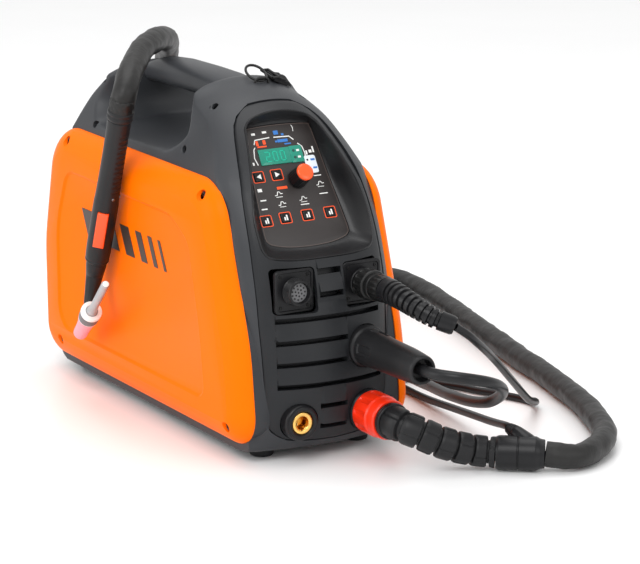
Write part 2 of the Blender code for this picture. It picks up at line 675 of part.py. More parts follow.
def build_power_connectors():
    brass_place = along(BRASS_SOCKET, (0, -1, 0))
    ring = [(0.0110, -0.008), (0.0175, -0.008), (0.0175, 0.0015), (0.0160, 0.0045), (0.0125, 0.0045),
            (0.0110, 0.003)]
    show("brass_socket_ring", turned("brass_socket_ring", ring, 24, ring=True), dark_plastic(), None,
         brass_place)
    insert = [(0.0, -0.018), (0.0106, -0.018), (0.0106, 0.0030), (0.0066, 0.0030), (0.0060, -0.012),
              (0.0, -0.012)]
    profile = [(max(r, 0.0004), z) for r, z in insert]
    show("brass_socket", turned("brass_socket", profile, 20), brass(), None, brass_place)

    torch_place = along(TORCH_SOCKET, (0, -1, 0))
    flange = [(0.0146, -0.006), (0.0200, -0.006), (0.0200, 0.0028), (0.0190, 0.0050), (0.0146, 0.0050)]
    show("torch_socket_ring", turned("torch_socket_ring", flange, 24, ring=True), dark_plastic(), None,
         torch_place)
    body = [(0.0138, -0.010), (0.0138, 0.0416), (0.0172, 0.0421), (0.0176, 0.0465), (0.0165, 0.0480)]
    show("torch_plug_body", turned("torch_plug_body", body, 20), black_rubber(), None, torch_place)
    collar = [(0.0143, 0.0055), (0.0196, 0.0055), (0.0206, 0.0080), (0.0206, 0.0280), (0.0194, 0.0305),
              (0.0194, 0.0400), (0.0184, 0.0415), (0.0143, 0.0415)]
    show("torch_lock_collar", turned("torch_lock_collar", collar, 20, ring=True), red(), None, torch_place)

    boot_place = along(RETURN_SOCKET, (0, -1, 0))
    boot = [(0.0185, -0.008), (0.0200, -0.004), (0.0200, 0.0030), (0.0178, 0.0048), (0.0174, 0.0200),
            (0.0166, 0.0320), (0.0160, 0.0700), (0.0150, 0.0860), (0.0134, 0.0960), (0.0105, BOOT_LENGTH)]
    show("return_plug_boot", turned("return_plug_boot", boot, 22), black_rubber(), None, boot_place)


def build_torch_lead_pieces():
    relief = [(0.0360, -0.2752, 0.0430), (0.0360, -0.2840, 0.0430), (0.0400, -0.2920, 0.0410),
              (0.0510, -0.3005, 0.0358), (0.0640, -0.3085, 0.0290), (0.0800, -0.3150, 0.0230),
              (0.0940, -0.3195, 0.0190), (0.1045, -0.3245, 0.0172), (0.1118, -0.3299, 0.0167)]
    show("torch_strain_relief",
         sweep("torch_strain_relief", relief, [(0, 0.0158), (0.6, 0.0148), (1, 0.0146)], 14), black_rubber())
    line = [(0.1128, -0.3307, 0.0167), (0.1240, -0.3387, 0.0167), (0.1360, -0.3475, 0.0166),
            (0.1475, -0.3561, 0.0165)]
    collector = show("cable_collector",
                     sweep("cable_collector", line, [(0, 0.0150), (0.08, 0.0162), (0.85, 0.0162),
                                                     (0.93, 0.0140),
                                                     (1, 0.0136)], 16, 0.0038), dark_plastic())
    branch_line = [(0.1285, -0.3410, 0.0190), (0.1300, -0.3345, 0.0300), (0.1322, -0.3260, 0.0342),
                   (0.1330, -0.3226, 0.0348)]
    branch = show("collector_branch",
                  sweep("collector_branch", branch_line, [(0, 0.0090), (0.6, 0.0075), (1, 0.0060)],
                        12), None)
    cut_with(collector, branch, "UNION")


# ---------------------------------------------------------------- torch
def build_torch():
    frame = along(TORCH_TOP, TORCH_GRIP_END - TORCH_TOP, TRIGGER_WAY)
    place = Matrix.Identity(4)
    grip = (TORCH_GRIP_END - TORCH_TOP).length
    cuff = [(0.0124, 0.0), (0.0130, 0.0012), (0.0130, 0.0080), (0.0122, 0.0096)]
    show("torch_hose_collar", turned("torch_hose_collar", cuff, 18), dark_plastic(), frame, place)
    shape = [(0.0108, 0.0100), (0.0118, 0.0125), (0.0113, 0.0500), (0.0117, 0.0900), (0.0124, 0.1050),
             (0.0124, 0.1520), (0.0118, grip - 0.0030), (0.0106, grip)]
    handle = show("torch_handle", turned("torch_handle", shape, 18), dark_plastic(), frame, place)
    pocket = show("trigger_pocket", block("trigger_pocket", (0.0050, -0.0059, TRIGGER_LOW - 0.0004),
                                          (0.0250, 0.0059, TRIGGER_HIGH + 0.0004)), None, frame, place)
    cut_with(handle, pocket)
    half, low, high = 0.0055, TRIGGER_LOW, TRIGGER_HIGH
    rings = []
    for x, trim in ((0.0074, 0.0), (0.0132, 0.0), (0.0144, 0.0010)):
        rings.append([Vector((x, -half + trim, low + trim)), Vector((x, half - trim, low + trim)),
                      Vector((x, half - trim, high - trim)), Vector((x, -half + trim, high - trim))])
    show("torch_trigger", loft("torch_trigger", rings), accent(), frame, place)

    down = (TORCH_GRIP_END - TORCH_TOP).normalized()
    head_place = along(TORCH_HEAD, CUP_WAY, (1, 0, 0))
    joint = TORCH_HEAD + CUP_WAY.normalized() * 0.0040
    line = [TORCH_GRIP_END + down * 0.0012, TORCH_GRIP_END + down * 0.016,
            joint + Vector((0.0048, 0.0062, 0.0165)), joint + Vector((0.0006, 0.0012, 0.0022))]
    neck = show("torch_neck", sweep("torch_neck", line, [(0, 0.0098), (0.25, 0.0088), (0.7, 0.0062),
                                                         (1, 0.0042)], 14),
                black_rubber())
    head = show("head_core", turned("head_core", [(0.0098, -0.0030), (0.0102, -0.0015), (0.0102, 0.0080),
                                                  (0.0094, 0.0089)],
                                    18), None, None, head_place)
    cut_with(neck, head, "UNION")
    ring = [(0.0062, -0.0085), (0.0098, -0.0085), (0.0106, -0.0075), (0.0106, -0.0040), (0.0100, -0.0033),
            (0.0062, -0.0033)]
    show("torch_head_ring", turned("torch_head_ring", ring, 18, ring=True),
         material("white_ptfe", (0.85, 0.85, 0.83), 0.35), None, head_place)
    cup = [(0.0056, 0.0093), (0.0092, 0.0093), (0.0092, 0.0150), (0.0084, 0.0180), (0.0074, 0.0340),
           (0.0072, 0.0500),
           (0.0052, 0.0500), (0.0054, 0.0220)]
    show("torch_cup", turned("torch_cup", cup, 18, ring=True), material("pink_ceramic", (0.82, 0.36, 0.42),
                                                                        0.35),
         None, head_place)
    cap = [(0.0058, -0.0034), (0.0058, -0.0090), (0.0043, -0.0120), (0.0041, -0.0700), (0.0041, -0.0750),
           (0.0032, -0.0765)]
    show("torch_back_cap", turned("torch_back_cap", cap, 16), aluminium(), None, head_place)
    tip = [(0.0012, 0.0080), (0.0012, 0.0520), (0.0003, 0.0550)]
    electrode = show("electrode", turned("electrode", tip, 8), None, None, head_place)
    cut_with(neck, electrode, "UNION")


# ---------------------------------------------------------------- cords
def coil_section():
    """Half width and height of the coil's cross section."""
    return COIL_ACROSS * RETURN_DIAMETER / 2, COIL_LAYERS * RETURN_DIAMETER


def build_cords():
    cord("torch_hose", HOSE_ROUTE, HOSE_DIAMETER, material("hose_sheath", (0.030, 0.027, 0.025), 0.6), 0.028)
    cord("control_cable", CONTROL_ROUTE, CONTROL_DIAMETER, black_rubber(), 0.015)
    cord("return_cable", RETURN_ROUTE, RETURN_DIAMETER, black_rubber(), 0.022)
    half, height = coil_section()
    inner, outer = COIL_RADIUS - half, COIL_RADIUS + half
    bevel = 0.004
    profile = [(inner, GAP + bevel), (inner + bevel, GAP), (outer - bevel, GAP), (outer, GAP + bevel),
               (outer, height - bevel), (outer - bevel, height), (inner + bevel, height),
               (inner, height - bevel)]
    show("return_cable_coil", turned("return_cable_coil", profile, 28, ring=True), black_rubber(), None,
         Matrix.Translation(COIL_CENTRE))


# ---------------------------------------------------------------- earth clamp
def build_earth_clamp():
    """Spring clamp lying on the coil, its long way along X, with the pin along Y."""
    base = COIL_LAYERS * RETURN_DIAMETER + 2 * GAP
    middle = Vector((COIL_CENTRE.x, COIL_CENTRE.y, base + 0.0150))
    for name, side in (("earth_clamp_lower", -1), ("earth_clamp_upper", 1)):
        tail = 0.0135 if side < 0 else 0.0150
        spine = [(-0.080, tail), (-0.040, tail * 0.93), (-0.004, 0.0030), (0.030, 0.0065), (0.062, 0.0045),
                 (0.078, 0.0006)]
        outside = [(x, (z + thick) * side) for (x, z), thick in zip(spine, (0.0015, 0.0018, 0.0060, 0.0020,
                                                                            0.0020, 0.0030))]
        inside = [(x, z * side) for x, z in reversed(spine)]
        outline = outside + inside
        if side > 0:
            outline = list(reversed(outline))
        rings = [[Vector((x, y, z)) for x, z in outline] for y in (-0.0125, 0.0125)]
        show(name, loft(name, rings), steel(), None, Matrix.Translation(middle))


# ---------------------------------------------------------------- base, rear and inside
def build_base():
    lower = show("base_tray", block("base_tray", (-0.0690, -0.1640, TRAY_Z), (0.0690, 0.1640, BASE_Z - GAP)),
                 material("grey_sheet_steel", (0.30, 0.31, 0.32), 0.4, 0.8))
    upper = show("tray_top", block("tray_top", (-0.0660, -0.1600, BASE_Z - 0.003),
                                   (0.0660, 0.1600, 0.0123)), None)
    cut_with(lower, upper, "UNION")
    foot = [(0.0095, 0.0), (0.0115, 0.0012), (0.0120, BASE_Z - GAP)]
    for name, x, y in (("foot_front_left", -0.052, -0.1790), ("foot_front_right", 0.052, -0.1790),
                       ("foot_rear_left", -0.052, 0.1790), ("foot_rear_right", 0.052, 0.1790)):
        show(name, turned(name, foot, 16), black_rubber(), None, Matrix.Translation((x, y, 0)))


def build_rear():
    plate = show("rear_grille", block("rear_grille", (-0.0620, 0.2110, 0.0300), (0.0620, 0.2155, 0.1980)),
                 dark_plastic())
    for k in range(6):
        z = REAR_FAN_Z + (k - 2.5) * 0.0125
        cut = show(f"grille_slot_{k}", block(f"grille_slot_{k}", (-0.036, 0.200, z - 0.0028),
                                             (0.036, 0.230, z + 0.0028)), None)
        cut_with(plate, cut)
    cut_with(plate, show("switch_hole", block("switch_hole", (-0.0113, 0.20, 0.1692), (0.0113, 0.23,
                                                                                       0.1898)), None))
    for name, x, radius in (("gland_hole", 0.045, 0.0098), ("inlet_hole", -0.045, 0.0078)):
        cut_with(plate, show(name, turned(name, [(radius + GAP, -0.02), (radius + GAP, 0.02)], 20), None,
                             None,
                             along((x, 0.2130, REAR_FITTING_Z), (0, 1, 0))))

    rocker = [(-0.0092, 0.0000), (-0.0092, 0.0052), (0.0, 0.0034), (0.0092, 0.0020), (0.0092, -0.0030),
              (-0.0092, -0.0060)]
    rings = [[Vector((x, y, z)) for z, y in rocker] for x in (-0.0108, 0.0108)]
    show("mains_switch", loft("mains_switch", rings), black_rubber(), None, Matrix.Translation((0.0, 0.2150,
                                                                                                0.1795)))
    gland = [(0.0095, -0.0110), (0.0095, 0.0028), (0.0125, 0.0032), (0.0125, 0.0110), (0.0100, 0.0125),
             (0.0090, 0.0240), (0.0060, 0.0255)]
    show("mains_gland", turned("mains_gland", gland, 16), black_rubber(), None,
         along((0.045, 0.2130, REAR_FITTING_Z), (0, 1, 0)))
    inlet = [(0.0075, -0.0080), (0.0075, 0.0028), (0.0105, 0.0032), (0.0105, 0.0090), (0.0062, 0.0098),
             (0.0062, 0.0180), (0.0050, 0.0215)]
    show("gas_inlet", turned("gas_inlet", inlet, 16), brass(), None,
         along((-0.045, 0.2130, REAR_FITTING_Z), (0, 1, 0)))
    valve = show("gas_valve", block("gas_valve", (-0.0570, 0.1750, 0.0330), (-0.0330, 0.2045, 0.0590)),
                 brass())
    coil = show("valve_coil", turned("valve_coil", [(0.0105, 0.0), (0.0105, 0.0240)], 16), None, None,
                Matrix.Translation((-0.0450, 0.1880, 0.0505)))
    cut_with(valve, coil, "UNION")


def build_fan():
    place = along((0.0, 0.1950, REAR_FAN_Z), (0, 1, 0))
    frame = show("fan_shroud", block("fan_shroud", (-0.0400, -0.0400, -0.0120), (0.0400, 0.0400, 0.0120)),
                 dark_plastic(), None, place)
    bore = show("fan_bore", turned("fan_bore", [(0.0370, -0.0080), (0.0370, 0.0200)], 28), None, None, place)
    cut_with(frame, bore)
    for k in range(4):
        turn = Matrix.Rotation(math.radians(45 + 90 * k), 4, "Z")
        window = show(f"fan_window_{k}", block(f"fan_window_{k}", (0.0150, -0.0125, -0.02), (0.0345, 0.0125,
                                                                                             0.0)),
                      None, None, place @ turn)
        cut_with(frame, window)
    rotor = show("cooling_fan", turned("cooling_fan", [(0.0140, -0.0075), (0.0140, 0.0085),
                                                       (0.0125, 0.0100)], 20),
                 black_rubber(), None, place)
    for k in range(7):
        turn = Matrix.Rotation(2 * math.pi * k / 7, 4, "Z")
        rings = []
        for r, lean, wide in ((0.0125, 0.9, 0.0062), (0.0240, 0.65, 0.0085), (0.0348, 0.5, 0.0098)):
            up, across = math.sin(lean), math.cos(lean)
            corners = [(-wide * across, -wide * up * 0.75), (wide * across, wide * up * 0.75)]
            thin = 0.0008
            (a, c), (b, d) = corners
            rings.append([Vector((r, a, c - thin)), Vector((r, b, d - thin)), Vector((r, b, d + thin)),
                          Vector((r, a, c + thin))])
        blade = show(f"fan_blade_{k}", loft(f"fan_blade_{k}", rings), None, None, place @ turn)
        cut_with(rotor, blade, "UNION")


def build_inside():
    floor = 0.0123 + GAP
    comb = []
    for k in range(9):
        z = 0.006 + k * 0.0075
        comb += [(0.020, z), (0.020, z + 0.0025), (0.0, z + 0.0025), (0.0, z + 0.0075)]
    outline = [(-0.005, 0.0), (0.0, 0.0), (0.0, 0.006)] + comb[:-2] + [(-0.005, comb[-3][1])]
    rings = [[Vector((x, y, z)) for x, z in outline] for y in (-0.060, 0.150)]
    show("heat_sink", loft("heat_sink", rings), aluminium(), None, Matrix.Translation((-0.0580, 0.0, floor)))
    board = show("power_board", block("power_board", (-0.0019, -0.120, 0.0), (0.0, 0.145, 0.120)),
                 circuit_board(), None,
                 Matrix.Translation((0.0600, 0.0, floor)))
    for k, (y, z, size) in enumerate(((-0.085, 0.030, 0.012), (-0.055, 0.030, 0.012), (0.050, 0.045, 0.014),
                                      (0.090, 0.045, 0.014))):
        can = show(f"capacitor_{k}", turned(f"capacitor_{k}", [(size, -0.001), (size, 0.030),
                                                               (size * 0.8, 0.032)], 16),
                   None, None, along((0.0581, y, floor + z), (-1, 0, 0)))
        cut_with(board, can, "UNION")
    core = show("transformer", block("transformer", (-0.0300, -0.026, 0.0), (0.0200, 0.026, 0.058)),
                material("core_steel", (0.10, 0.10, 0.11), 0.5, 0.6), None,
                Matrix.Translation((0.004, -0.020, floor)))
    winding = show("transformer_winding", block("transformer_winding", (-0.0230, -0.040, 0.008),
                                                (0.0130, 0.040, 0.050)),
                   None, None, Matrix.Translation((0.004, -0.020, floor)))
    cut_with(core, winding, "UNION")
    ring = [(0.0120, -0.011), (0.0270, -0.011), (0.0290, -0.009), (0.0290, 0.009), (0.0270, 0.011),
            (0.0120, 0.011)]
    show("output_choke", turned("output_choke", ring, 20, ring=True), material("copper_winding",
                                                                               (0.60, 0.25, 0.10), 0.4, 0.6),
         None, along((0.004, 0.060, floor + 0.0290), (1, 0, 0)))
    show("control_board", block("control_board", (-0.034, 0.002, -0.0125), (0.034, 0.098, -0.0109)),
         circuit_board(), None,
         panel_matrix())


def build_strap_eye():
    """Oval steel ring for a shoulder strap, tilting on the top of the front."""
    loops = []
    for k in range(20):
        a = 2 * math.pi * k / 20
        centre = Vector((0.0095 * math.cos(a), 0.0, 0.0125 * math.sin(a)))
        out = Vector((math.cos(a), 0.0, math.sin(a)))
        loops.append([centre + (out * math.cos(b) + Vector((0, 1, 0)) * math.sin(b)) * 0.0013
                      for b in (2 * math.pi * j / 6 for j in range(6))])
    tilt = Matrix.Rotation(math.radians(-62), 4, "X")
    lift = Matrix.Translation((0.0, 0.0, 0.0125))
    show("strap_eye", loft("strap_eye", loops, closed=True), steel(), None,
         Matrix.Translation((0.010, -0.0720, 0.3360)) @ tilt @ lift)


# ---------------------------------------------------------------- build
def main():
    clear_scene()
    build_housing()
    build_side_panels()
    build_front()
    build_control_connectors()
    build_power_connectors()
    build_torch_lead_pieces()
    build_torch()
    build_cords()
    build_earth_clamp()
    build_base()
    build_rear()
    build_fan()
    build_inside()
    build_strap_eye()


main()
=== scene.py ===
import json
import math

import bmesh
import bpy
from mathutils import Matrix, Vector, noise

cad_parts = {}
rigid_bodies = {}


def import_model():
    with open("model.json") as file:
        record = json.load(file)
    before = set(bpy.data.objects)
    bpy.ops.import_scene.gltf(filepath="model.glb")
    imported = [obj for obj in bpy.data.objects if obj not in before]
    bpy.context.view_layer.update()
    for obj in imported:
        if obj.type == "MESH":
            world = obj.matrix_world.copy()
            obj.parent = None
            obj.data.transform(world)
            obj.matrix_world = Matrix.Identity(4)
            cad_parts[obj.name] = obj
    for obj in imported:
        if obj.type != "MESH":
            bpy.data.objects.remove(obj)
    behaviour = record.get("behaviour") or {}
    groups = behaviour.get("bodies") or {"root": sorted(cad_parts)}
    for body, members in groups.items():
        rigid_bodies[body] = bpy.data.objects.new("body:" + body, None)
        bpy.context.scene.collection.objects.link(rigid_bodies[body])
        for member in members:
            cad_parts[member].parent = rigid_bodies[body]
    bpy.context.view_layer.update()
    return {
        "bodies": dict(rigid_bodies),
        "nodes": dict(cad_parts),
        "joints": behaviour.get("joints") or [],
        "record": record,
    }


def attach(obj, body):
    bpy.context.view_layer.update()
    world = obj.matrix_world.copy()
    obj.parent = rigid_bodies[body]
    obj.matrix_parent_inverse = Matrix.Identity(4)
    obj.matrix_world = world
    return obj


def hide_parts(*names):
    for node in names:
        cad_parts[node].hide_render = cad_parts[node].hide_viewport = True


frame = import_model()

ROOT = "machine"


# ------------------------------------------------------------------ camera
LENS_MM, SENSOR_MM = 168.75, 36.0
NEAREST, FARTHEST = 0.1, 60.0
CAMERA_PLACE = (-1.37778, -2.5482, 0.85236)
CAMERA_RIGHT = Vector((0.86251, -0.50603, 0.0))
CAMERA_UP = Vector((0.12371, 0.21085, 0.96966))
CAMERA_BACK = Vector((-0.49068, -0.83634, 0.24446))


def aim_camera():
    """Camera at the front left, a little above the machine."""
    data = bpy.data.cameras.new("camera")
    data.lens = LENS_MM
    data.sensor_width = SENSOR_MM
    data.clip_start = NEAREST
    data.clip_end = FARTHEST
    obj = bpy.data.objects.new("camera", data)
    bpy.context.scene.collection.objects.link(obj)
    turn = Matrix((CAMERA_RIGHT, CAMERA_UP, CAMERA_BACK)).transposed().to_4x4()
    obj.matrix_world = Matrix.Translation(CAMERA_PLACE) @ turn
    bpy.context.scene.camera = obj


aim_camera()


# ------------------------------------------------------------------ mesh helpers
def link(name, mesh, mat, body=ROOT, matrix=None):
    """Scene object from a mesh, with its material, riding a body of the frame."""
    mesh.name = name
    obj = bpy.data.objects.new(name, mesh)
    bpy.context.scene.collection.objects.link(obj)
    if matrix is not None:
        mesh.transform(matrix)
    for m in (mat if isinstance(mat, (list, tuple)) else [mat]):
        mesh.materials.append(m)
    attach(obj, body)
    return obj


def mesh_of(points, faces, angle=40.0):
    """Mesh from points and faces, smooth, with sharp edges past an angle."""
    mesh = bpy.data.meshes.new("mesh")
    mesh.from_pydata([tuple(p) for p in points], [], faces)
    mesh.validate()
    bm = bmesh.new()
    bm.from_mesh(mesh)
    bmesh.ops.recalc_face_normals(bm, faces=bm.faces[:])
    bm.to_mesh(mesh)
    bm.free()
    mesh.shade_smooth()
    mesh.set_sharp_from_angle(angle=math.radians(angle))
    return mesh


def loft(rings, closed=False, caps=True, angle=40.0):
    """Skin over rings of points that all have the same count."""
    count = len(rings[0])
    points = [p for ring in rings for p in ring]
    faces = []
    for k in range(len(rings) if closed else len(rings) - 1):
        low, high = k * count, ((k + 1) % len(rings)) * count
        for i in range(count):
            j = (i + 1) % count
            faces.append((low + i, low + j, high + j, high + i))
    if caps and not closed:
        faces.append(tuple(reversed(range(count))))
        faces.append(tuple(range((len(rings) - 1) * count, len(rings) * count)))
    return mesh_of(points, faces, angle)


def circle(radius, segments, z=0.0, wave=None):
    """Ring of points about Z. wave(angle, z) adds to its radius."""
    ring = []
    for i in range(segments):
        a = 2 * math.pi * i / segments
        r = radius + (wave(a, z) if wave else 0.0)
        ring.append(Vector((r * math.cos(a), r * math.sin(a), z)))
    return ring


def turned(profile, segments=48, ring=False, wave=None, angle=40.0):
    """Solid of revolution from (radius, height) pairs."""
    return loft([circle(max(r, 0.00002), segments, z, wave) for r, z in profile], closed=ring, angle=angle)


def levels(steps):
    """Rings of points from flat outlines, each given with its height."""
    return [[Vector((x, y, z)) for x, y in line] for line, z in steps]


def prism(outline, low, high):
    """Straight solid over a flat outline."""
    return loft(levels([(outline, low), (outline, high)]))


def along(origin, way, side=(0, 0, 1)):
    """Frame whose Z axis points along a direction."""
    z = Vector(way).normalized()
    x = Vector(side) - z * Vector(side).dot(z)
    if x.length < 1e-6:
        x = Vector((1, 0, 0)) - z * z.x
    x.normalize()
    y = z.cross(x)
    return Matrix.Translation(Vector(origin)) @ Matrix((x, y, z)).transposed().to_4x4()


def catmull(points, per=6, closed=False):
    """Smooth curve through tuples of any length."""
    count = len(points)
    spans = count if closed else count - 1
    result = []

    def at(i):
        if closed:
            return points[i % count]
        if i < 0:
            return tuple(2 * a - b for a, b in zip(points[0], points[1]))
        if i >= count:
            return tuple(2 * a - b for a, b in zip(points[-1], points[-2]))
        return points[i]

    for k in range(spans):
        a, b, c, d = at(k - 1), at(k), at(k + 1), at(k + 2)
        for j in range(per):
            t = j / per
            result.append(tuple(0.5 * (2 * q + (r - p) * t + (2 * p - 5 * q + 4 * r - s) * t * t
                                       + (3 * q - p - 3 * r + s) * t ** 3)
                                for p, q, r, s in zip(a, b, c, d)))
    if not closed:
        result.append(tuple(points[-1]))
    return result


def even(points, spacing):
    """Points at an even spacing along a polyline."""
    pts = [Vector(p) for p in points]
    length = sum((q - p).length for p, q in zip(pts, pts[1:]))
    count = max(2, round(length / spacing))
    step = length / count
    result, run = [pts[0]], 0.0
    for p, q in zip(pts, pts[1:]):
        size = (q - p).length
        while size > 0 and run + size >= step * len(result) and len(result) < count:
            result.append(p.lerp(q, (step * len(result) - run) / size))
        run += size
    result.append(pts[-1])
    return result


def frames_along(points):
    """Frames that turn as little as possible along a route."""
    frames = []
    side = None
    for i, p in enumerate(points):
        way = (points[min(i + 1, len(points) - 1)] - points[max(i - 1, 0)]).normalized()
        if side is None:
            side = Vector((0, 0, 1)) if abs(way.z) < 0.9 else Vector((1, 0, 0))
        side = (side - way * side.dot(way)).normalized()
        frames.append((p, side, way.cross(side), way))
    return frames


def tube(points, radius, segments=20, angle=60.0):
    """Round tube along points. radius(s, angle) gives its radius at a length s."""
    rings, run = [], 0.0
    frames = frames_along(points)
    for i, (p, x, y, way) in enumerate(frames):
        if i:
            run += (p - points[i - 1]).length
        ring = []
        for k in range(segments):
            a = 2 * math.pi * k / segments
            r = radius(run, a)
            ring.append(p + x * (r * math.cos(a)) + y * (r * math.sin(a)))
        rings.append(ring)
    return loft(rings, angle=angle)


def box_mesh(low, high, bevel=0.0, segments=3, angle=40.0):
    """Box between two corners, with rounded edges where a bevel is given."""
    (x0, y0, z0), (x1, y1, z1) = low, high
    points = [Vector((x, y, z)) for z in (z0, z1) for x, y in ((x0, y0), (x1, y0), (x1, y1), (x0, y1))]
    faces = [(3, 2, 1, 0), (4, 5, 6, 7), (0, 1, 5, 4), (1, 2, 6, 5), (2, 3, 7, 6), (3, 0, 4, 7)]
    mesh = mesh_of(points, faces, angle)
    if bevel:
        bm = bmesh.new()
        bm.from_mesh(mesh)
        bmesh.ops.bevel(bm, geom=bm.edges[:], offset=bevel, segments=segments, profile=0.5, affect="EDGES")
        bm.to_mesh(mesh)
        bm.free()
        mesh.shade_smooth()
        mesh.set_sharp_from_angle(angle=math.radians(angle))
    return mesh


def merged(name, meshes, mat, body=ROOT):
    """One piece from several meshes that share a material."""
    bm = bmesh.new()
    for mesh in meshes:
        bm.from_mesh(mesh)
    joined = bpy.data.meshes.new(name)
    bm.to_mesh(joined)
    bm.free()
    joined.shade_smooth()
    joined.set_sharp_from_angle(angle=math.radians(40))
    return link(name, joined, mat, body)


def moved(mesh, matrix):
    """The same mesh after a transform."""
    mesh.transform(matrix)
    return mesh


def cut(obj, cutter_mesh, kind="DIFFERENCE"):
    """Boolean applied at once, with the cutter removed after it."""
    cutter = bpy.data.objects.new("cutter", cutter_mesh)
    bpy.context.scene.collection.objects.link(cutter)
    step = obj.modifiers.new("cut", "BOOLEAN")
    step.operation = kind
    step.object = cutter
    step.solver = "EXACT"
    bpy.context.view_layer.update()
    graph = bpy.context.evaluated_depsgraph_get()
    result = bpy.data.meshes.new_from_object(obj.evaluated_get(graph), depsgraph=graph)
    obj.modifiers.clear()
    obj.data = result
    bpy.data.objects.remove(cutter, do_unlink=True)
    result.shade_smooth()
    result.set_sharp_from_angle(angle=math.radians(38))
    return obj


# ------------------------------------------------------------------ materials
def surface(name, colour, rough=0.45, metal=0.0, tint=0.0, spread=0.0, grain=0.0, grain_size=900.0,
            blotch=14.0, coat=0.0, emit=None, streak=False, specular=0.5, wrinkle=0.0, wrinkle_size=60.0):
    """Procedural surface, or the frame's own material where it already has one of this name."""
    mat = bpy.data.materials.get(name)
    if mat:
        return mat
    mat = bpy.data.materials.new(name)
    mat.use_nodes = True
    tree = mat.node_tree
    shader = tree.nodes["Principled BSDF"]
    shader.inputs["Metallic"].default_value = metal
    shader.inputs["Coat Weight"].default_value = coat
    shader.inputs["Coat Roughness"].default_value = 0.2
    shader.inputs["Specular IOR Level"].default_value = specular
    if emit:
        shader.inputs["Emission Color"].default_value = (*emit[0], 1.0)
        shader.inputs["Emission Strength"].default_value = emit[1]

    def node(kind, **values):
        n = tree.nodes.new(kind)
        for key, value in values.items():
            n.inputs[key].default_value = value
        return n

    coords = tree.nodes.new("ShaderNodeTexCoord")
    mapping = tree.nodes.new("ShaderNodeMapping")
    if streak:
        mapping.inputs["Scale"].default_value = (1.0, 1.0, 14.0)
    tree.links.new(coords.outputs["Object"], mapping.inputs["Vector"])
    slow = node("ShaderNodeTexNoise", Scale=blotch, Detail=5.0, Roughness=0.6)
    tree.links.new(mapping.outputs["Vector"], slow.inputs["Vector"])
    ramp = tree.nodes.new("ShaderNodeValToRGB")
    low = tuple(max(0.0, c * (1 - tint)) for c in colour)
    high = tuple(min(1.0, c * (1 + tint)) for c in colour)
    ramp.color_ramp.elements[0].position = 0.3
    ramp.color_ramp.elements[0].color = (*low, 1.0)
    ramp.color_ramp.elements[1].position = 0.7
    ramp.color_ramp.elements[1].color = (*high, 1.0)
    tree.links.new(slow.outputs["Fac"], ramp.inputs["Fac"])
    tree.links.new(ramp.outputs["Color"], shader.inputs["Base Color"])
    spanning = tree.nodes.new("ShaderNodeMapRange")
    spanning.inputs["To Min"].default_value = max(0.02, rough - spread)
    spanning.inputs["To Max"].default_value = min(1.0, rough + spread)
    tree.links.new(slow.outputs["Fac"], spanning.inputs["Value"])
    tree.links.new(spanning.outputs["Result"], shader.inputs["Roughness"])
    normal = None
    for strength, size, distance in ((grain, grain_size, 0.0002), (wrinkle, wrinkle_size, 0.001)):
        if strength <= 0:
            continue
        fine = node("ShaderNodeTexNoise", Scale=size, Detail=3.0, Roughness=0.55)
        tree.links.new(mapping.outputs["Vector"], fine.inputs["Vector"])
        bump = node("ShaderNodeBump", Strength=strength, Distance=distance)
        tree.links.new(fine.outputs["Fac"], bump.inputs["Height"])
        if normal:
            tree.links.new(normal.outputs["Normal"], bump.inputs["Normal"])
        normal = bump
    if normal:
        tree.links.new(normal.outputs["Normal"], shader.inputs["Normal"])
    return mat


CHARCOAL = surface("charcoal_shell", (0.033, 0.035, 0.039), 0.42, tint=0.1, spread=0.05, grain=0.35,
                   grain_size=1300, specular=0.3)
FASCIA = surface("fascia_plastic", (0.014, 0.015, 0.017), 0.4, tint=0.12, spread=0.05, grain=0.3,
                 grain_size=1400, specular=0.26)
RECESS = surface("recess_plastic", (0.008, 0.008, 0.009), 0.34, tint=0.12, spread=0.05, grain=0.2,
                 grain_size=1400, specular=0.35)
ORANGE = surface("orange_shell", (1.0, 0.158, 0.0003), 0.38, tint=0.035, spread=0.04, grain=0.22,
                 grain_size=1200, blotch=5.0, specular=0.05)
# Darker orange for the floors of the side panels' screw wells: painted shade, in place of the shade that
# falls into the wells.
ORANGE_PAINTED_SHADE = surface("orange_recess", (0.72, 0.028, 0.001), 0.45, tint=0.1, grain=0.2)
BLACK = surface("black_plastic", (0.007, 0.007, 0.008), 0.34, tint=0.2, spread=0.06, grain=0.2,
                specular=0.28)
RUBBER = surface("rubber_black", (0.01, 0.01, 0.011), 0.5, tint=0.25, spread=0.08, grain=0.4, grain_size=700,
                 specular=0.28)
RUBBER_GREY = surface("rubber_grey", (0.011, 0.011, 0.012), 0.44, tint=0.2, spread=0.08, grain=0.4,
                      grain_size=700, specular=0.28)
CABLE = surface("cable_jacket", (0.007, 0.007, 0.008), 0.36, tint=0.25, spread=0.08, grain=0.3,
                grain_size=500, specular=0.3)
SHEATH = surface("hose_leather", (0.012, 0.0115, 0.011), 0.46, tint=0.3, spread=0.1, grain=0.6,
                 grain_size=420, blotch=30.0, specular=0.34, wrinkle=0.9, wrinkle_size=85.0)
RED = surface("red_collar", (0.86, 0.028, 0.004), 0.33, tint=0.06, spread=0.04, grain=0.2, coat=0.1,
              specular=0.4)
ACCENT = surface("accent_orange", (1.0, 0.072, 0.003), 0.36, tint=0.05, spread=0.04, grain=0.15,
                 specular=0.12)
LABEL = surface("label_film", (0.026, 0.021, 0.02), 0.42, tint=0.08, spread=0.04, grain=0.25,
                grain_size=1600)
PRINT_WHITE = surface("print_white", (0.8, 0.8, 0.78), 0.5, tint=0.04)
PRINT_ORANGE = surface("print_orange", (0.9, 0.085, 0.012), 0.5, tint=0.04)
PRINT_BLUE = surface("print_blue", (0.03, 0.17, 0.52), 0.5, tint=0.06)
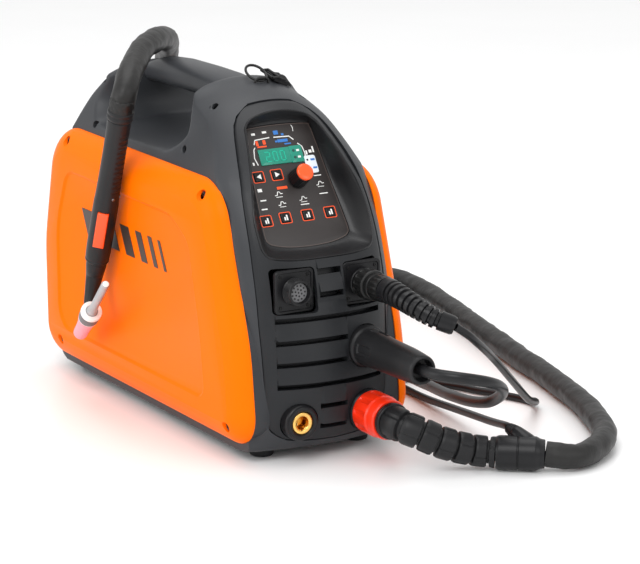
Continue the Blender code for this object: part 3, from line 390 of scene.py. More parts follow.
PRINT_GREY = surface("print_grey", (0.105, 0.075, 0.065), 0.5, tint=0.08)
PANEL_WHITE = surface("label_white", (0.74, 0.79, 0.84), 0.4, tint=0.05)
GLASS_TEAL = surface("display_teal", (0.0, 0.2, 0.135), 0.22, tint=0.1, spread=0.03, coat=0.3,
                     emit=((0.0, 0.42, 0.27), 0.12))
GLASS_DARK = surface("display_dark", (0.0, 0.055, 0.045), 0.22, tint=0.1, coat=0.3)
DIGIT = surface("display_digit", (0.0, 0.36, 0.24), 0.3, tint=0.05, emit=((0.05, 0.75, 0.45), 0.1))
BRASS = surface("brass_turned", (0.93, 0.56, 0.16), 0.24, metal=1.0, tint=0.12, spread=0.08, grain=0.12,
                streak=True)
BRASS_DARK = surface("brass_inside", (0.62, 0.3, 0.05), 0.35, metal=1.0, tint=0.2, grain=0.1)
STEEL = surface("steel_plated", (0.6, 0.61, 0.63), 0.3, metal=1.0, tint=0.1, spread=0.08, grain=0.1,
                streak=True)
STEEL_DARK = surface("steel_dark", (0.2, 0.2, 0.2), 0.35, metal=1.0, tint=0.2, spread=0.08, grain=0.15)
GUNMETAL = surface("coupling_black", (0.007, 0.007, 0.007), 0.36, tint=0.2, spread=0.06, grain=0.2,
                   specular=0.3)
SILVER = surface("silver_cap", (0.42, 0.42, 0.43), 0.34, metal=0.6, tint=0.1, spread=0.05, grain=0.08)
WHITE = surface("white_ptfe", (0.74, 0.75, 0.76), 0.38, tint=0.03, spread=0.04, grain=0.1)
MID_GREY = surface("grey_insulator", (0.13, 0.13, 0.135), 0.45, tint=0.08, grain=0.15)
PINK = surface("pink_ceramic", (0.8, 0.34, 0.44), 0.42, tint=0.05, spread=0.05, grain=0.15)
COPPER = surface("copper_winding", (0.62, 0.24, 0.09), 0.35, metal=0.9, tint=0.2, spread=0.1, grain=0.3,
                 streak=True)
BOARD = surface("circuit_board", (0.01, 0.1, 0.045), 0.4, tint=0.3, spread=0.1, grain=0.2)
ALU = surface("aluminium_fins", (0.66, 0.67, 0.69), 0.36, metal=1.0, tint=0.08, spread=0.08, grain=0.15,
              streak=True)
SHEET = surface("grey_sheet", (0.16, 0.165, 0.17), 0.42, metal=0.6, tint=0.08, spread=0.06, grain=0.2)
PRINT_GREY_DARK = surface("print_charcoal", (0.045, 0.028, 0.022), 0.45, tint=0.08)
BLACK_SATIN = surface("black_satin", (0.01, 0.01, 0.011), 0.4, tint=0.15, spread=0.05, grain=0.35,
                      grain_size=1500, specular=0.3)
WEBBING = surface("webbing", (0.008, 0.008, 0.009), 0.7, tint=0.35, spread=0.1, grain=0.9, grain_size=900,
                  specular=0.2)


# ------------------------------------------------------------------ cords
HOSE_ROUTE = [
    (0.1499, -0.3579, 0.0163), (0.16, -0.3642, 0.0148), (0.179, -0.369, 0.0128), (0.2, -0.361, 0.0125),
    (0.223, -0.345, 0.0125), (0.243, -0.322, 0.0125), (0.259, -0.292, 0.0125), (0.274, -0.257, 0.0125),
    (0.288, -0.215, 0.0125), (0.3, -0.17, 0.0125), (0.311, -0.125, 0.0125), (0.321, -0.075, 0.0125),
    (0.334, -0.015, 0.0125), (0.348, 0.045, 0.0125), (0.362, 0.105, 0.0125), (0.376, 0.165, 0.0125),
    (0.388, 0.225, 0.0125), (0.391, 0.285, 0.0125), (0.375, 0.34, 0.0125), (0.335, 0.38, 0.0125),
    (0.28, 0.395, 0.0125), (0.22, 0.385, 0.016), (0.165, 0.355, 0.035), (0.125, 0.317, 0.08),
    (0.098, 0.283, 0.14), (0.078, 0.254, 0.205), (0.06, 0.224, 0.265), (0.043, 0.19, 0.309),
    (0.024, 0.15, 0.338), (0.0, 0.11, 0.3515), (-0.028, 0.076, 0.3575), (-0.056, 0.048, 0.355),
    (-0.078, 0.022, 0.3475), (-0.096, 0.0, 0.3385), (-0.1083, -0.0145, 0.326), (-0.111, -0.0135, 0.3127)
]
CONTROL_ROUTE = [
    (0.1335, -0.3208, 0.035), (0.1351, -0.314, 0.0348), (0.1447, -0.2725, 0.027), (0.1558, -0.2212, 0.019),
    (0.1666, -0.1688, 0.011), (0.1728, -0.1224, 0.0055), (0.175, -0.091, 0.004), (0.177, -0.061, 0.004),
    (0.183, -0.043, 0.004), (0.1925, -0.037, 0.004), (0.2025, -0.043, 0.004), (0.209, -0.059, 0.004),
    (0.2153, -0.0745, 0.004), (0.227, -0.094, 0.004), (0.234, -0.111, 0.004), (0.242, -0.126, 0.004),
    (0.2485, -0.14, 0.004), (0.2555, -0.156, 0.004), (0.2595, -0.171, 0.0042), (0.2575, -0.184, 0.0065),
    (0.248, -0.197, 0.012), (0.2216, -0.2238, 0.025), (0.1816, -0.2596, 0.055), (0.145, -0.288, 0.085),
    (0.128, -0.2995, 0.099), (0.112, -0.313, 0.1105), (0.096, -0.3245, 0.122), (0.081, -0.331, 0.1335),
    (0.0678, -0.329, 0.1431)
]
RETURN_ROUTE = [
    (0.0361, -0.3268, 0.105), (0.0385, -0.343, 0.1055), (0.049, -0.358, 0.105), (0.065, -0.365, 0.102),
    (0.084, -0.363, 0.096), (0.102, -0.352, 0.087), (0.116, -0.336, 0.076), (0.1235, -0.317, 0.0645),
    (0.1255, -0.296, 0.0545), (0.13, -0.262, 0.046), (0.1365, -0.225, 0.04), (0.146, -0.187, 0.034),
    (0.156, -0.15, 0.029), (0.166, -0.115, 0.0235), (0.173, -0.085, 0.02), (0.179, -0.05, 0.0165),
    (0.184, -0.01, 0.0135), (0.188, 0.04, 0.009), (0.19, 0.09, 0.0065), (0.19, 0.14, 0.006),
    (0.1893, 0.19, 0.006), (0.1896, 0.235, 0.006)
]
HOSE_RADIUS, CONTROL_RADIUS, RETURN_RADIUS = 0.012, 0.00375, 0.0055
COIL_CENTRE = Vector((0.267, 0.27, 0.0))


def coil_route():
    """Turns of the stored return cable, layer on layer, wound clockwise from above."""
    layers = [(0.0765, 0.0655, 0.055), (0.055, 0.066, 0.0765), (0.0715, 0.0605), (0.0605, 0.0715)]
    first, pitch, steps, settled = 0.006, 0.0105, 26, 0.72
    turns = [(r, first + k * pitch) for k, radii in enumerate(layers) for r in radii]
    points = []
    for n, (radius, z) in enumerate(turns):
        to_radius, to_z = turns[min(n + 1, len(turns) - 1)]
        for k in range(steps):
            share = max(0.0, (k / steps - settled) / 0.28)
            share = share * share * (3 - 2 * share)
            a = math.pi - 2 * math.pi * k / steps
            r = radius + (to_radius - radius) * share
            points.append((COIL_CENTRE.x + r * math.cos(a), COIL_CENTRE.y + r * math.sin(a),
                           z + (to_z - z) * share))
    return points


def length_of(points):
    """Length of a polyline."""
    return sum((Vector(q) - Vector(p)).length for p, q in zip(points, points[1:]))


def wrinkled(radius, depth, size):
    """Sheath radius with shallow folds across and along it."""
    def at(s, a):
        fold = noise.noise(Vector((s / size, 1.1 * math.cos(a), 1.1 * math.sin(a))))
        crease = noise.noise(Vector((s / (size * 0.4), 2.2 * math.cos(a), 2.2 * math.sin(a) + 7.0)))
        return radius + depth * (0.8 * fold + 0.5 * crease)
    return at


def build_cords():
    """The three cords, each with the path that it follows."""
    hose = even(catmull(HOSE_ROUTE, 16), 0.0035)
    hose_piece = link("torch_hose_sheath", tube(hose, wrinkled(HOSE_RADIUS, 0.0012, 0.022), 28), SHEATH)
    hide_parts("torch_hose")
    control = even(catmull(CONTROL_ROUTE, 16), 0.003)
    control_piece = link("control_lead", tube(control, lambda s, a: CONTROL_RADIUS, 16), CABLE)
    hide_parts("control_cable")
    back = even(catmull(RETURN_ROUTE + coil_route(), 10), 0.005)
    return_piece = link("return_lead", tube(back, lambda s, a: RETURN_RADIUS, 16), CABLE)
    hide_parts("return_cable", "return_cable_coil")
    return (hose_piece, hose), (control_piece, control), (return_piece, back)


CORDS = build_cords()


# ------------------------------------------------------------------ body surface
SIDE_SHARE = 0.93
SHELL_FLOOR, SHOULDER_Z = 0.0088, 0.26
HALF_WIDTHS = [(0.0, 0.084), (SHOULDER_Z, 0.084), (0.34, 0.0508)]
NOSE = 0.045
FRONT_PROFILE = [
    (-0.205, 0.0092, 0.008), (-0.215, 0.014, 0.03), (-0.225, 0.028, NOSE), (-0.229, 0.045, NOSE),
    (-0.229, 0.075, NOSE), (-0.2275, 0.105, NOSE), (-0.2245, 0.135, NOSE), (-0.2215, 0.162, NOSE),
    (-0.214, 0.19, NOSE), (-0.203, 0.22, NOSE), (-0.187, 0.25, NOSE), (-0.165, 0.28, 0.042),
    (-0.14, 0.303, 0.036), (-0.115, 0.319, 0.03)
]
TOP_FRONT = [(-0.09, 0.33, 0.03), (-0.065, 0.336, 0.028), (-0.045, 0.337, 0.02)]
SADDLE = [(-0.038, 0.315, 0.032), (-0.036, 0.295, 0.045), (-0.03, 0.28, 0.02), (-0.015, 0.273, 0.006),
          (0.045, 0.272, 0.006), (0.1, 0.273, 0.006)]
REAR_TOWER = [
    (0.112, 0.28, 0.016), (0.116, 0.295, 0.022), (0.113, 0.316, 0.013), (0.122, 0.3295, 0.018),
    (0.138, 0.322, 0.022), (0.156, 0.306, 0.025), (0.17, 0.286, 0.027)
]
CAVITY_ROOF = [
    (0.108, 0.2725, 0.006), (0.114, 0.272, 0.006), (0.12, 0.272, 0.006), (0.127, 0.272, 0.006),
    (0.135, 0.2715, 0.006), (0.144, 0.2705, 0.006), (0.153, 0.2685, 0.008)
]
REAR_PROFILE = [
    (0.181, 0.262, 0.026), (0.196, 0.236, 0.025), (0.21, 0.205, 0.025), (0.218, 0.17, 0.025),
    (0.22, 0.13, 0.025), (0.22, 0.06, 0.025), (0.215, 0.03, 0.02), (0.205, 0.014, 0.01),
    (0.19, 0.009, 0.002)
]
UNDERSIDE = [(0.165, 0.009, 0.0), (0.0, 0.009, 0.0), (-0.165, 0.009, 0.0), (-0.19, 0.009, 0.002)]
INSERT_WIDTHS = [
    (0.018, 0.054), (0.029, 0.0616), (0.064, 0.0655), (0.111, 0.0675), (0.158, 0.069), (0.203, 0.0685),
    (0.246, 0.0662), (0.279, 0.0605), (0.305, 0.0515), (0.318, 0.043), (0.3235, 0.035)
]


def between(table, value):
    """Value read off a table of (input, output) pairs."""
    for (a, ra), (b, rb) in zip(table, table[1:]):
        if value <= b:
            share = max(0.0, (value - a) / (b - a))
            return ra + (rb - ra) * share
    return table[-1][1]


def half_width(z):
    """Half width of the body at a height."""
    return between(HALF_WIDTHS, z)


def inward(points, i):
    """Unit normal of an outline at one point: inward on the body, outward on an anticlockwise outline."""
    before, after = points[i - 1], points[(i + 1) % len(points)]
    way = Vector((after[0] - before[0], after[1] - before[1])).normalized()
    return Vector((way.y, -way.x))


def skin(point, normal, share, extra=0.0):
    """Point on the body's skin at a signed share of the half width, extra inward."""
    y, z, depth = point
    inset = depth * (1 - math.sqrt(max(0.0, 1 - share * share))) + extra
    y += normal.x * inset
    z += normal.y * inset
    return Vector((share * half_width(z), y, z))


def shell_mesh(profile, wall=0.0, edge=0.0025, steps=14, fine=4):
    """Body shell swept across its width from a side outline."""
    normals = [inward(profile, i) for i in range(len(profile))]
    reach = math.asin(SIDE_SHARE)
    stations = [(math.sin(reach * k / steps), wall) for k in range(-steps, steps + 1)]
    if edge:
        soft = [(SIDE_SHARE + 0.016 * math.sin(a), edge * (1 - math.cos(a))) for a in (0.5, 0.9, 1.25, 1.57)]
        stations = [(-s, e) for s, e in reversed(soft)] + stations + soft
    rings = []
    for share, extra in stations:
        skins = [skin(p, n, share, extra) for p, n in zip(profile, normals)]
        smooth = [(p.y, p.z) for p in skins]
        if fine > 1:
            smooth = catmull(smooth, fine, closed=True)
        smooth = [(y, max(z, SHELL_FLOOR + wall)) for y, z in smooth]
        rings.append([Vector((share * (half_width(z) - wall), y, z)) for y, z in smooth])
    mesh = loft(rings, angle=35)
    bm = bmesh.new()
    bm.from_mesh(mesh)
    bmesh.ops.bisect_plane(bm, geom=bm.verts[:] + bm.edges[:] + bm.faces[:], dist=1e-6,
                           plane_co=(0, 0, SHOULDER_Z), plane_no=(0, 0, 1))
    bm.to_mesh(mesh)
    bm.free()
    return mesh


def rounded_bar(stations, count=40, power=2.6):
    """Loft of superellipses at (y, z, half width, half height)."""
    rings = []
    for y, z, w, h in stations:
        ring = []
        for k in range(count):
            a = 2 * math.pi * k / count
            c, s = math.cos(a), math.sin(a)
            ring.append(Vector((w * math.copysign(abs(c) ** (2 / power), c), y,
                                z + h * math.copysign(abs(s) ** (2 / power), s))))
        rings.append(ring)
    return loft(rings, angle=50)


# front line by height: (y, depth, normal)
FRONT_LINE = catmull(FRONT_PROFILE + TOP_FRONT[:2], 10)


def front_at(z):
    """Point and normal of the front outline at a nominal height."""
    for i in range(len(FRONT_LINE) - 1):
        a, b = FRONT_LINE[i], FRONT_LINE[i + 1]
        if a[1] <= z <= b[1]:
            t = (z - a[1]) / (b[1] - a[1])
            way = Vector((b[0] - a[0], b[1] - a[1])).normalized()
            return (a[0] + (b[0] - a[0]) * t, z, a[2] + (b[2] - a[2]) * t), Vector((way.y, -way.x))
    raise ValueError("height off the front")


def front_point(x, z, out=0.0):
    """Point on the front at a width and nominal height, out along its normal."""
    base, normal = front_at(z)
    share = x / half_width(z)
    p = skin(base, normal, abs(share), -out)
    p.x = x
    return p


FASCIA_LOW, FASCIA_HIGH = 0.019, 0.3235
LOUVRES = [
    (-0.0125, 0.0125, 0.181), (-0.0125, 0.0125, 0.16), (-0.056, 0.056, 0.1385), (-0.056, 0.015, 0.1175),
    (-0.056, 0.0135, 0.0965), (-0.056, 0.056, 0.0755), (-0.013, 0.0115, 0.0545), (-0.013, 0.0115, 0.0345)
]
SLOT_HALF, SLOT_DEPTH = 0.0026, 0.011
LOUVRE_RISE, LOUVRE_OUT, LOUVRE_FALL = 0.0157, 0.002, 0.0032


INSERT_WIDTH_LINE = catmull(INSERT_WIDTHS, 6)


def insert_width(z):
    """Half width of the front insert at a height, with rounded ends."""
    width = between(INSERT_WIDTH_LINE, z)
    for edge, radius in ((z - FASCIA_LOW, 0.011), (FASCIA_HIGH - z, 0.012)):
        if edge < radius:
            width -= radius - math.sqrt(max(0.0, radius ** 2 - (radius - max(edge, 0.0)) ** 2))
    return width


def louvre_offset(x, z):
    """How far the front insert stands out of its plain surface."""
    best = 0.0
    for x0, x1, zc in LOUVRES:
        if not x0 <= x <= x1:
            continue
        if abs(z - zc) <= SLOT_HALF:
            return -SLOT_DEPTH
        rise = z - (zc + SLOT_HALF)
        if 0 <= rise <= LOUVRE_RISE:
            t = rise / LOUVRE_RISE
            best = LOUVRE_OUT - LOUVRE_FALL * t
    return best


def fascia_mesh(grow=0.0, outside=0.0, inside=0.005, plain=False):
    """Front insert that follows the nose of the body and steps at its louvres."""
    low, high = FASCIA_LOW - grow, FASCIA_HIGH + grow
    rows = [low + (high - low) * k / (60 if plain else 110) for k in range(61 if plain else 111)]
    rows += [low + 0.0004, low + 0.0012, high - 0.0004, high - 0.0012]
    columns = [-1 + 2 * k / 40 for k in range(41)]
    if not plain:
        for _, _, zc in LOUVRES:
            rows = [z for z in rows if min(abs(z - zc - SLOT_HALF), abs(z - zc + SLOT_HALF)) > 0.0006]
            rows += [zc + s * (SLOT_HALF + d) for s in (-1, 1) for d in (-0.00012, 0.00012)]
    rows = sorted(set(rows))
    front, back = [], []
    marks = sorted({x for x0, x1, _ in LOUVRES for x in (x0, x1)})
    for z in rows:
        core = min(max(z, FASCIA_LOW), FASCIA_HIGH)
        edge = insert_width(core) + grow
        xs = [t * edge for t in columns]
        if not plain:
            for mark in marks:
                if abs(mark) < edge - 0.002:
                    near = min(range(1, len(xs) - 1), key=lambda i: abs(xs[i] - mark))
                    xs[near] = mark
            fine = []
            for x in xs:
                fine += [x - 0.00015, x + 0.00015] if x in marks else [x, x + 0.0003 * (x < edge)]
            xs = fine
        line_front, line_back = [], []
        for x in xs:
            offset = outside
            if not plain:
                offset = louvre_offset(x, z)
                rim = min(edge - abs(x), z - low, high - z)
                if rim < 0.0014:
                    offset -= 0.0009 * (1 - rim / 0.0014) ** 2
            line_front.append(front_point(x, z, offset))
            line_back.append(front_point(x, z, min(-inside, offset - 0.0015)))
        front.append(line_front)
        back.append(line_back)
    count = len(front[0])
    points = [p for line in front for p in line] + [p for line in back for p in line]
    half = len(rows) * count
    faces = []
    for r in range(len(rows) - 1):
        for c in range(count - 1):
            a = r * count + c
            faces.append((a, a + 1, a + 1 + count, a + count))
            faces.append((half + a + count, half + a + 1 + count, half + a + 1, half + a))
    rim = list(range(count)) + [r * count + count - 1 for r in range(1, len(rows))]
    rim += [half - 1 - c for c in range(1, count)] + [r * count for r in range(len(rows) - 2, 0, -1)]
    for a, b in zip(rim, rim[1:] + rim[:1]):
        faces.append((b, a, a + half, b + half))
    return mesh_of(points, faces, angle=28)


OUTER_PROFILE = FRONT_PROFILE + TOP_FRONT + SADDLE + REAR_TOWER + REAR_PROFILE + UNDERSIDE
CAVITY_PROFILE = FRONT_PROFILE + TOP_FRONT + SADDLE + CAVITY_ROOF + REAR_PROFILE + UNDERSIDE
SCREW_WELLS = [
    (0.118, 0.27, 0.0038), (-0.068, 0.277, 0.0038), (-0.084, 0.319, 0.0036), (0.128, 0.312, 0.0034)
]


def build_shell():
    """Housing with its handle, screw wells and openings."""
    shell = link("housing_shell", shell_mesh(OUTER_PROFILE), CHARCOAL)
    wells = []
    spots = []
    for side in (-1, 1):
        for y, z, radius in SCREW_WELLS:
            hit, place, normal, _ = shell.ray_cast(Vector((side * 0.2, y, z)), Vector((-side, 0, 0)))
            if not hit:
                raise ValueError("a screw well misses the shell")
            way = (normal + Vector((side * 0.8, 0, 0))).normalized()
            spots.append((place.copy(), way, radius))
    for place, way, radius in spots:
        frame = along(place - way * 0.0065, way)
        cut(shell, moved(turned([(radius, 0.0), (radius, 0.006), (radius + 0.0012, 0.0072),
                                 (radius + 0.0012, 0.02)], 32), frame))
        wells.append(moved(turned([(0.0001, -0.0006), (radius + 0.0004, -0.0006), (radius + 0.0004, 0.0003),
                                   (0.0028, 0.0004), (0.0028, 0.0016), (0.0022, 0.0022), (0.0012, 0.0022),
                                   (0.001, 0.0012), (0.0001, 0.0012)], 24), frame))
    bar = rounded_bar([(-0.062, 0.3225, 0.02, 0.0105), (-0.05, 0.3235, 0.021, 0.0118),
                       (-0.025, 0.3241, 0.0216, 0.01365), (0.017, 0.324, 0.022, 0.014),
                       (0.07, 0.3234, 0.0218, 0.01385), (0.101, 0.322, 0.0214, 0.01255),
                       (0.126, 0.3165, 0.02, 0.01)])
    cut(shell, bar, "UNION")
    cut(shell, shell_mesh(CAVITY_PROFILE, 0.003, 0.0, 8, 1))
    cut(shell, fascia_mesh(0.0008, 0.014, 0.01, plain=True))
    cut(shell, box_mesh((-0.0624, 0.19, 0.0296), (0.0624, 0.24, 0.1984)))
    cut(shell, box_mesh((-0.0664, -0.1604, -0.01), (0.0664, 0.1604, 0.02)))
    merged("housing_screws", wells, BLACK)
    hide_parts("housing_left", "housing_right")


# ------------------------------------------------------------------ front
PANEL_FOOT = Vector((0.0, -0.1757, 0.2077))
PANEL_LEAN = math.radians(32.8)
PANEL_EDGE = [
    (0.0, -0.013), (0.022, -0.0118), (0.037, -0.0085), (0.0432, -0.005), (0.0455, 0.001), (0.0437, 0.025),
    (0.0408, 0.057), (0.038, 0.095), (0.0366, 0.106), (0.0325, 0.1105), (0.0, 0.112)
]
RECESS_RIM = [
    (0.0, 0.1942), (0.03, 0.195), (0.05, 0.1985), (0.057, 0.205), (0.0592, 0.217), (0.0588, 0.24),
    (0.05, 0.276), (0.0405, 0.303), (0.0365, 0.31), (0.026, 0.314), (0.0, 0.3155)
]
ARROW_BUTTONS = [("arrow_button_left", -0.0334, 0.061), ("arrow_button_right", -0.0136, 0.0613)]
MODE_BUTTONS = [
    ("mode_button_1", -0.0385, 0.017), ("mode_button_2", -0.0177, 0.0179), ("mode_button_3", 0.0062, 0.018),
    ("mode_button_4", 0.0309, 0.0181)
]
KNOB_PLACE = (0.0062, 0.0545)
DISPLAY_BOX = (-0.0268, 0.02, 0.0718, 0.0877)
SOCKET_X, CONTROL_SOCKET_Y, CONTROL_SOCKET_Z, PLATE = 0.0365, -0.2155, 0.165, 0.041
CONTROL_WAY = Vector((0.0, -math.cos(math.radians(2.0)), math.sin(math.radians(2.0))))
BRASS_SOCKET = Vector((-0.036, -0.2262, 0.041))
TORCH_SOCKET = Vector((0.036, -0.2262, 0.043))
RETURN_SOCKET = Vector((0.036, -0.2262, 0.105))


def panel_matrix():
    """Frame of the sloped control panel, with Z outward."""
    up = Vector((0.0, math.sin(PANEL_LEAN), math.cos(PANEL_LEAN)))
    out = Vector((0.0, -math.cos(PANEL_LEAN), math.sin(PANEL_LEAN)))
    return Matrix.Translation(PANEL_FOOT) @ Matrix((Vector((1, 0, 0)), up, out)).transposed().to_4x4()


PANEL = panel_matrix()


def mirrored(half):
    """Right half of an outline, completed with its left half."""
    return half + [(-p[0], *p[1:]) for p in reversed(half[1:-1])]


def grown(points, extra):
    """Outline moved along its normals. It grows if it runs anticlockwise."""
    result = []
    for i, p in enumerate(points):
        n = inward(points, i)
        result.append((p[0] + n.x * extra, p[1] + n.y * extra))
    return result


def plate_mesh(outline, low, high, bevel=0.0004):
    """Flat plate with a rounded top edge. The outline runs anticlockwise."""
    layers = [(0.0, low), (0.0, high - bevel), (-bevel * 0.3, high - bevel * 0.3), (-bevel, high)]
    return loft(levels([(grown(outline, g), z) for g, z in layers]), angle=50)


def rim_places():
    """Recess rim in the control panel's frame."""
    places = []
    inverse = PANEL.inverted()
    for x, z in RECESS_RIM:
        places.append(inverse @ front_point(x, z, -0.0003))
    return places


def rounded_square(size_x, size_y, radius, steps=6, centre=(0.0, 0.0)):
    """Rounded rectangle outline, anticlockwise."""
    points = []
    for k, (sx, sy) in enumerate(((1, -1), (1, 1), (-1, 1), (-1, -1))):
        cx, cy = sx * (size_x / 2 - radius), sy * (size_y / 2 - radius)
        start = math.radians(-90 + 90 * k)
        for j in range(steps + 1):
            a = start + math.pi / 2 * j / steps
            points.append((centre[0] + cx + radius * math.cos(a), centre[1] + cy + radius * math.sin(a)))
    return points


def frame_mesh(outline, width, low, high):
    """Flat line of one width round an outline, lying inside it."""
    inner = grown(outline, -width)
    return loft(levels([(outline, low), (outline, high), (inner, high), (inner, low)]), closed=True)


def stroke(points, width, low=0.0, high=0.00025):
    """Thin printed line through points on the control panel."""
    left, right = [], []
    for i, (x, y) in enumerate(points):
        a = Vector(points[max(i - 1, 0)])
        b = Vector(points[min(i + 1, len(points) - 1)])
        way = (b - a).normalized()
        n = Vector((-way.y, way.x)) * width / 2
        left.append((x + n.x, y + n.y))
        right.append((x - n.x, y - n.y))
    return prism(right + list(reversed(left)), low, high)


def on_panel(mesh, x=0.0, y=0.0, z=0.0):
    """Mesh placed in the control panel's frame."""
    mesh.transform(PANEL @ Matrix.Translation((x, y, z)))
    return mesh


def build_fascia():
    """Front insert, the recess surround and the panel film."""
    fascia = link("front_insert", fascia_mesh(), FASCIA)
    smooth = catmull(mirrored([tuple(p) for p in rim_places()]), 5, closed=True)
    flat = [(p[0], p[1]) for p in smooth]
    cut(fascia, moved(prism(grown(flat, 0.0022), -0.03, 0.05), PANEL))
    for side in (-1, 1):
        place = along((side * SOCKET_X, CONTROL_SOCKET_Y, CONTROL_SOCKET_Z), CONTROL_WAY)
        outline = rounded_square(PLATE + 0.0016, PLATE + 0.0016, 0.0045)
        cut(fascia, moved(prism(outline, -0.02, 0.03), place))
    for at, radius in ((BRASS_SOCKET, 0.0179), (TORCH_SOCKET, 0.0204), (RETURN_SOCKET, 0.0207)):
        cut(fascia, moved(turned([(radius, -0.02), (radius, 0.03)], 48), along(at, (0, -1, 0))))
    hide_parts("front_fascia")

    edge = catmull(mirrored(PANEL_EDGE), 5, closed=True)
    seat = grown(edge, 0.0004)
    under = -0.0028
    layers = levels([(grown(seat, 0.002), under - 0.002)])
    for out, lift in ((0.002, -0.0006), (0.0014, 0.0003), (0.0006, 0.0003), (-0.0003, -0.001)):
        layers.append([Vector((x, y, p[2] + lift)) for (x, y), p in zip(grown(flat, out), smooth)])
    for t in (0.35, 0.7, 0.9):
        bow = 1 - (1 - t) ** 1.6
        layers.append([Vector((p[0] + (x - p[0]) * t, p[1] + (y - p[1]) * t,
                               p[2] * (1 - bow) + 0.0006 * bow)) for (x, y), p in zip(seat, smooth)])
    layers += levels([(seat, 0.0004), (seat, under)])
    bezel = link("panel_surround", moved(loft(layers, angle=32), PANEL), RECESS)
    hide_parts("panel_bezel")

    plate = link("panel_label", moved(plate_mesh(edge, -0.0025, 0.0, 0.0003), PANEL), LABEL)
    for name, x, y in ARROW_BUTTONS + MODE_BUTTONS:
        outline = rounded_square(0.0096, 0.0096, 0.0014)
        cut(plate, moved(prism(outline, -0.006, 0.006), PANEL @ Matrix.Translation((x, y, 0))))
    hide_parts("control_panel")


def bar_glyph(parts):
    """Printed bars on the control panel."""
    return [on_panel(box_mesh((x0, y0, 0.0), (x1, y1, 0.00022))) for x0, y0, x1, y1 in parts]


def printed_bars(places):
    """Printed bars, each given by its centre, width and height."""
    return [on_panel(box_mesh((x - w / 2, y - h / 2, 0.0), (x + w / 2, y + h / 2, 0.00025)))
            for x, y, w, h in places]


def build_keys():
    """Pushbuttons with their frames and symbols."""
    frames = []
    for name, x, y in ARROW_BUTTONS + MODE_BUTTONS:
        outline = rounded_square(0.009, 0.009, 0.0013)
        layers = [(0.0, -0.0017), (0.0, 0.0004), (-0.00025, 0.0009), (-0.0008, 0.0012)]
        key = loft(levels([(grown(outline, g), z) for g, z in layers]), angle=50)
        piece = link(f"{name}_cap", moved(key, PANEL @ Matrix.Translation((x, y, 0))), BLACK, f"{name}_key")
        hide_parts(name)
        if name == "arrow_button_left":
            tri = [(0.0022, -0.0026), (0.0022, 0.0026), (-0.0026, 0.0)]
        elif name == "arrow_button_right":
            tri = [(-0.0022, -0.0026), (0.0026, 0.0), (-0.0022, 0.0026)]
        else:
            tri = None
        meshes = []
        if tri:
            meshes.append(prism(tri, 0.0011, 0.00135))
        else:
            for x0, x1, top in ((-0.0019, -0.0004, 0.0006), (0.0004, 0.0019, 0.0026)):
                meshes.append(box_mesh((x0, -0.0028, 0.0011), (x1, top, 0.00135)))
        for mesh in meshes:
            mesh.transform(PANEL @ Matrix.Translation((x, y, 0)))
        merged(f"{name}_sign", meshes, PRINT_WHITE, f"{name}_key")
        outline = rounded_square(0.0128, 0.0116, 0.0018)
        frames.append(on_panel(frame_mesh(outline, 0.00075, 0.0, 0.00035), x, y))
    merged("key_frames", frames, PRINT_ORANGE)


SEGMENTS = {"0": "abcdef", "2": "abged"}


def build_display():
    """Display window with its digits."""
    x0, x1, y0, y1 = DISPLAY_BOX
    split = x1 - 0.0135
    outline = rounded_square(split - x0, y1 - y0, 0.0008, 4, ((x0 + split) / 2, (y0 + y1) / 2))
    glass = on_panel(plate_mesh(outline, 0.0002, 0.0012, 0.0002))
    window = link("display_glass", glass, GLASS_TEAL)
    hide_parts("display_window")
    outline = rounded_square(x1 - split - 0.0002, y1 - y0 + 0.001, 0.0008, 4,
                             ((x1 + split) / 2, (y0 + y1) / 2))
    side = on_panel(plate_mesh(outline, 0.0002, 0.0013, 0.0002))
    link("display_units", side, GLASS_TEAL)
    w, h, t = 0.0056, 0.0108, 0.0012
    parts = {"a": (0, h - t, w, h), "g": (0, h / 2 - t / 2, w, h / 2 + t / 2), "d": (0, 0, w, t),
             "f": (0, h / 2, t, h), "b": (w - t, h / 2, w, h), "e": (0, 0, t, h / 2),
             "c": (w - t, 0, w, h / 2)}
    meshes = []
    for k, digit in enumerate("200"):
        ox, oy = x0 + 0.0062 + k * 0.008, y0 + 0.0025
        for code in SEGMENTS[digit]:
            a, b, c, d = parts[code]
            meshes.append(on_panel(box_mesh((ox + a + 0.0001, oy + b + 0.0001, 0.0011),
                                            (ox + c - 0.0001, oy + d - 0.0001, 0.00135))))
    merged("display_digits", meshes, DIGIT)
    dots = []
    for x, y in ((split + 0.0042, y1 - 0.0045), (split + 0.0042, y0 + 0.0045)):
        dots.append(on_panel(turned([(0.0014, 0.0012), (0.0014, 0.0015), (0.001, 0.0016)], 20), x, y))
    merged("display_dots", dots, GLASS_DARK)
    marks = bar_glyph([(split + 0.0072, y1 - 0.0056, split + 0.0102, y1 - 0.0036),
                       (split + 0.0072, y0 + 0.0036, split + 0.0102, y0 + 0.0056)])
    for mesh in marks:
        mesh.transform(Matrix.Translation(PANEL.to_3x3() @ Vector((0, 0, 0.0012))))
    merged("display_marks", marks, PRINT_WHITE)


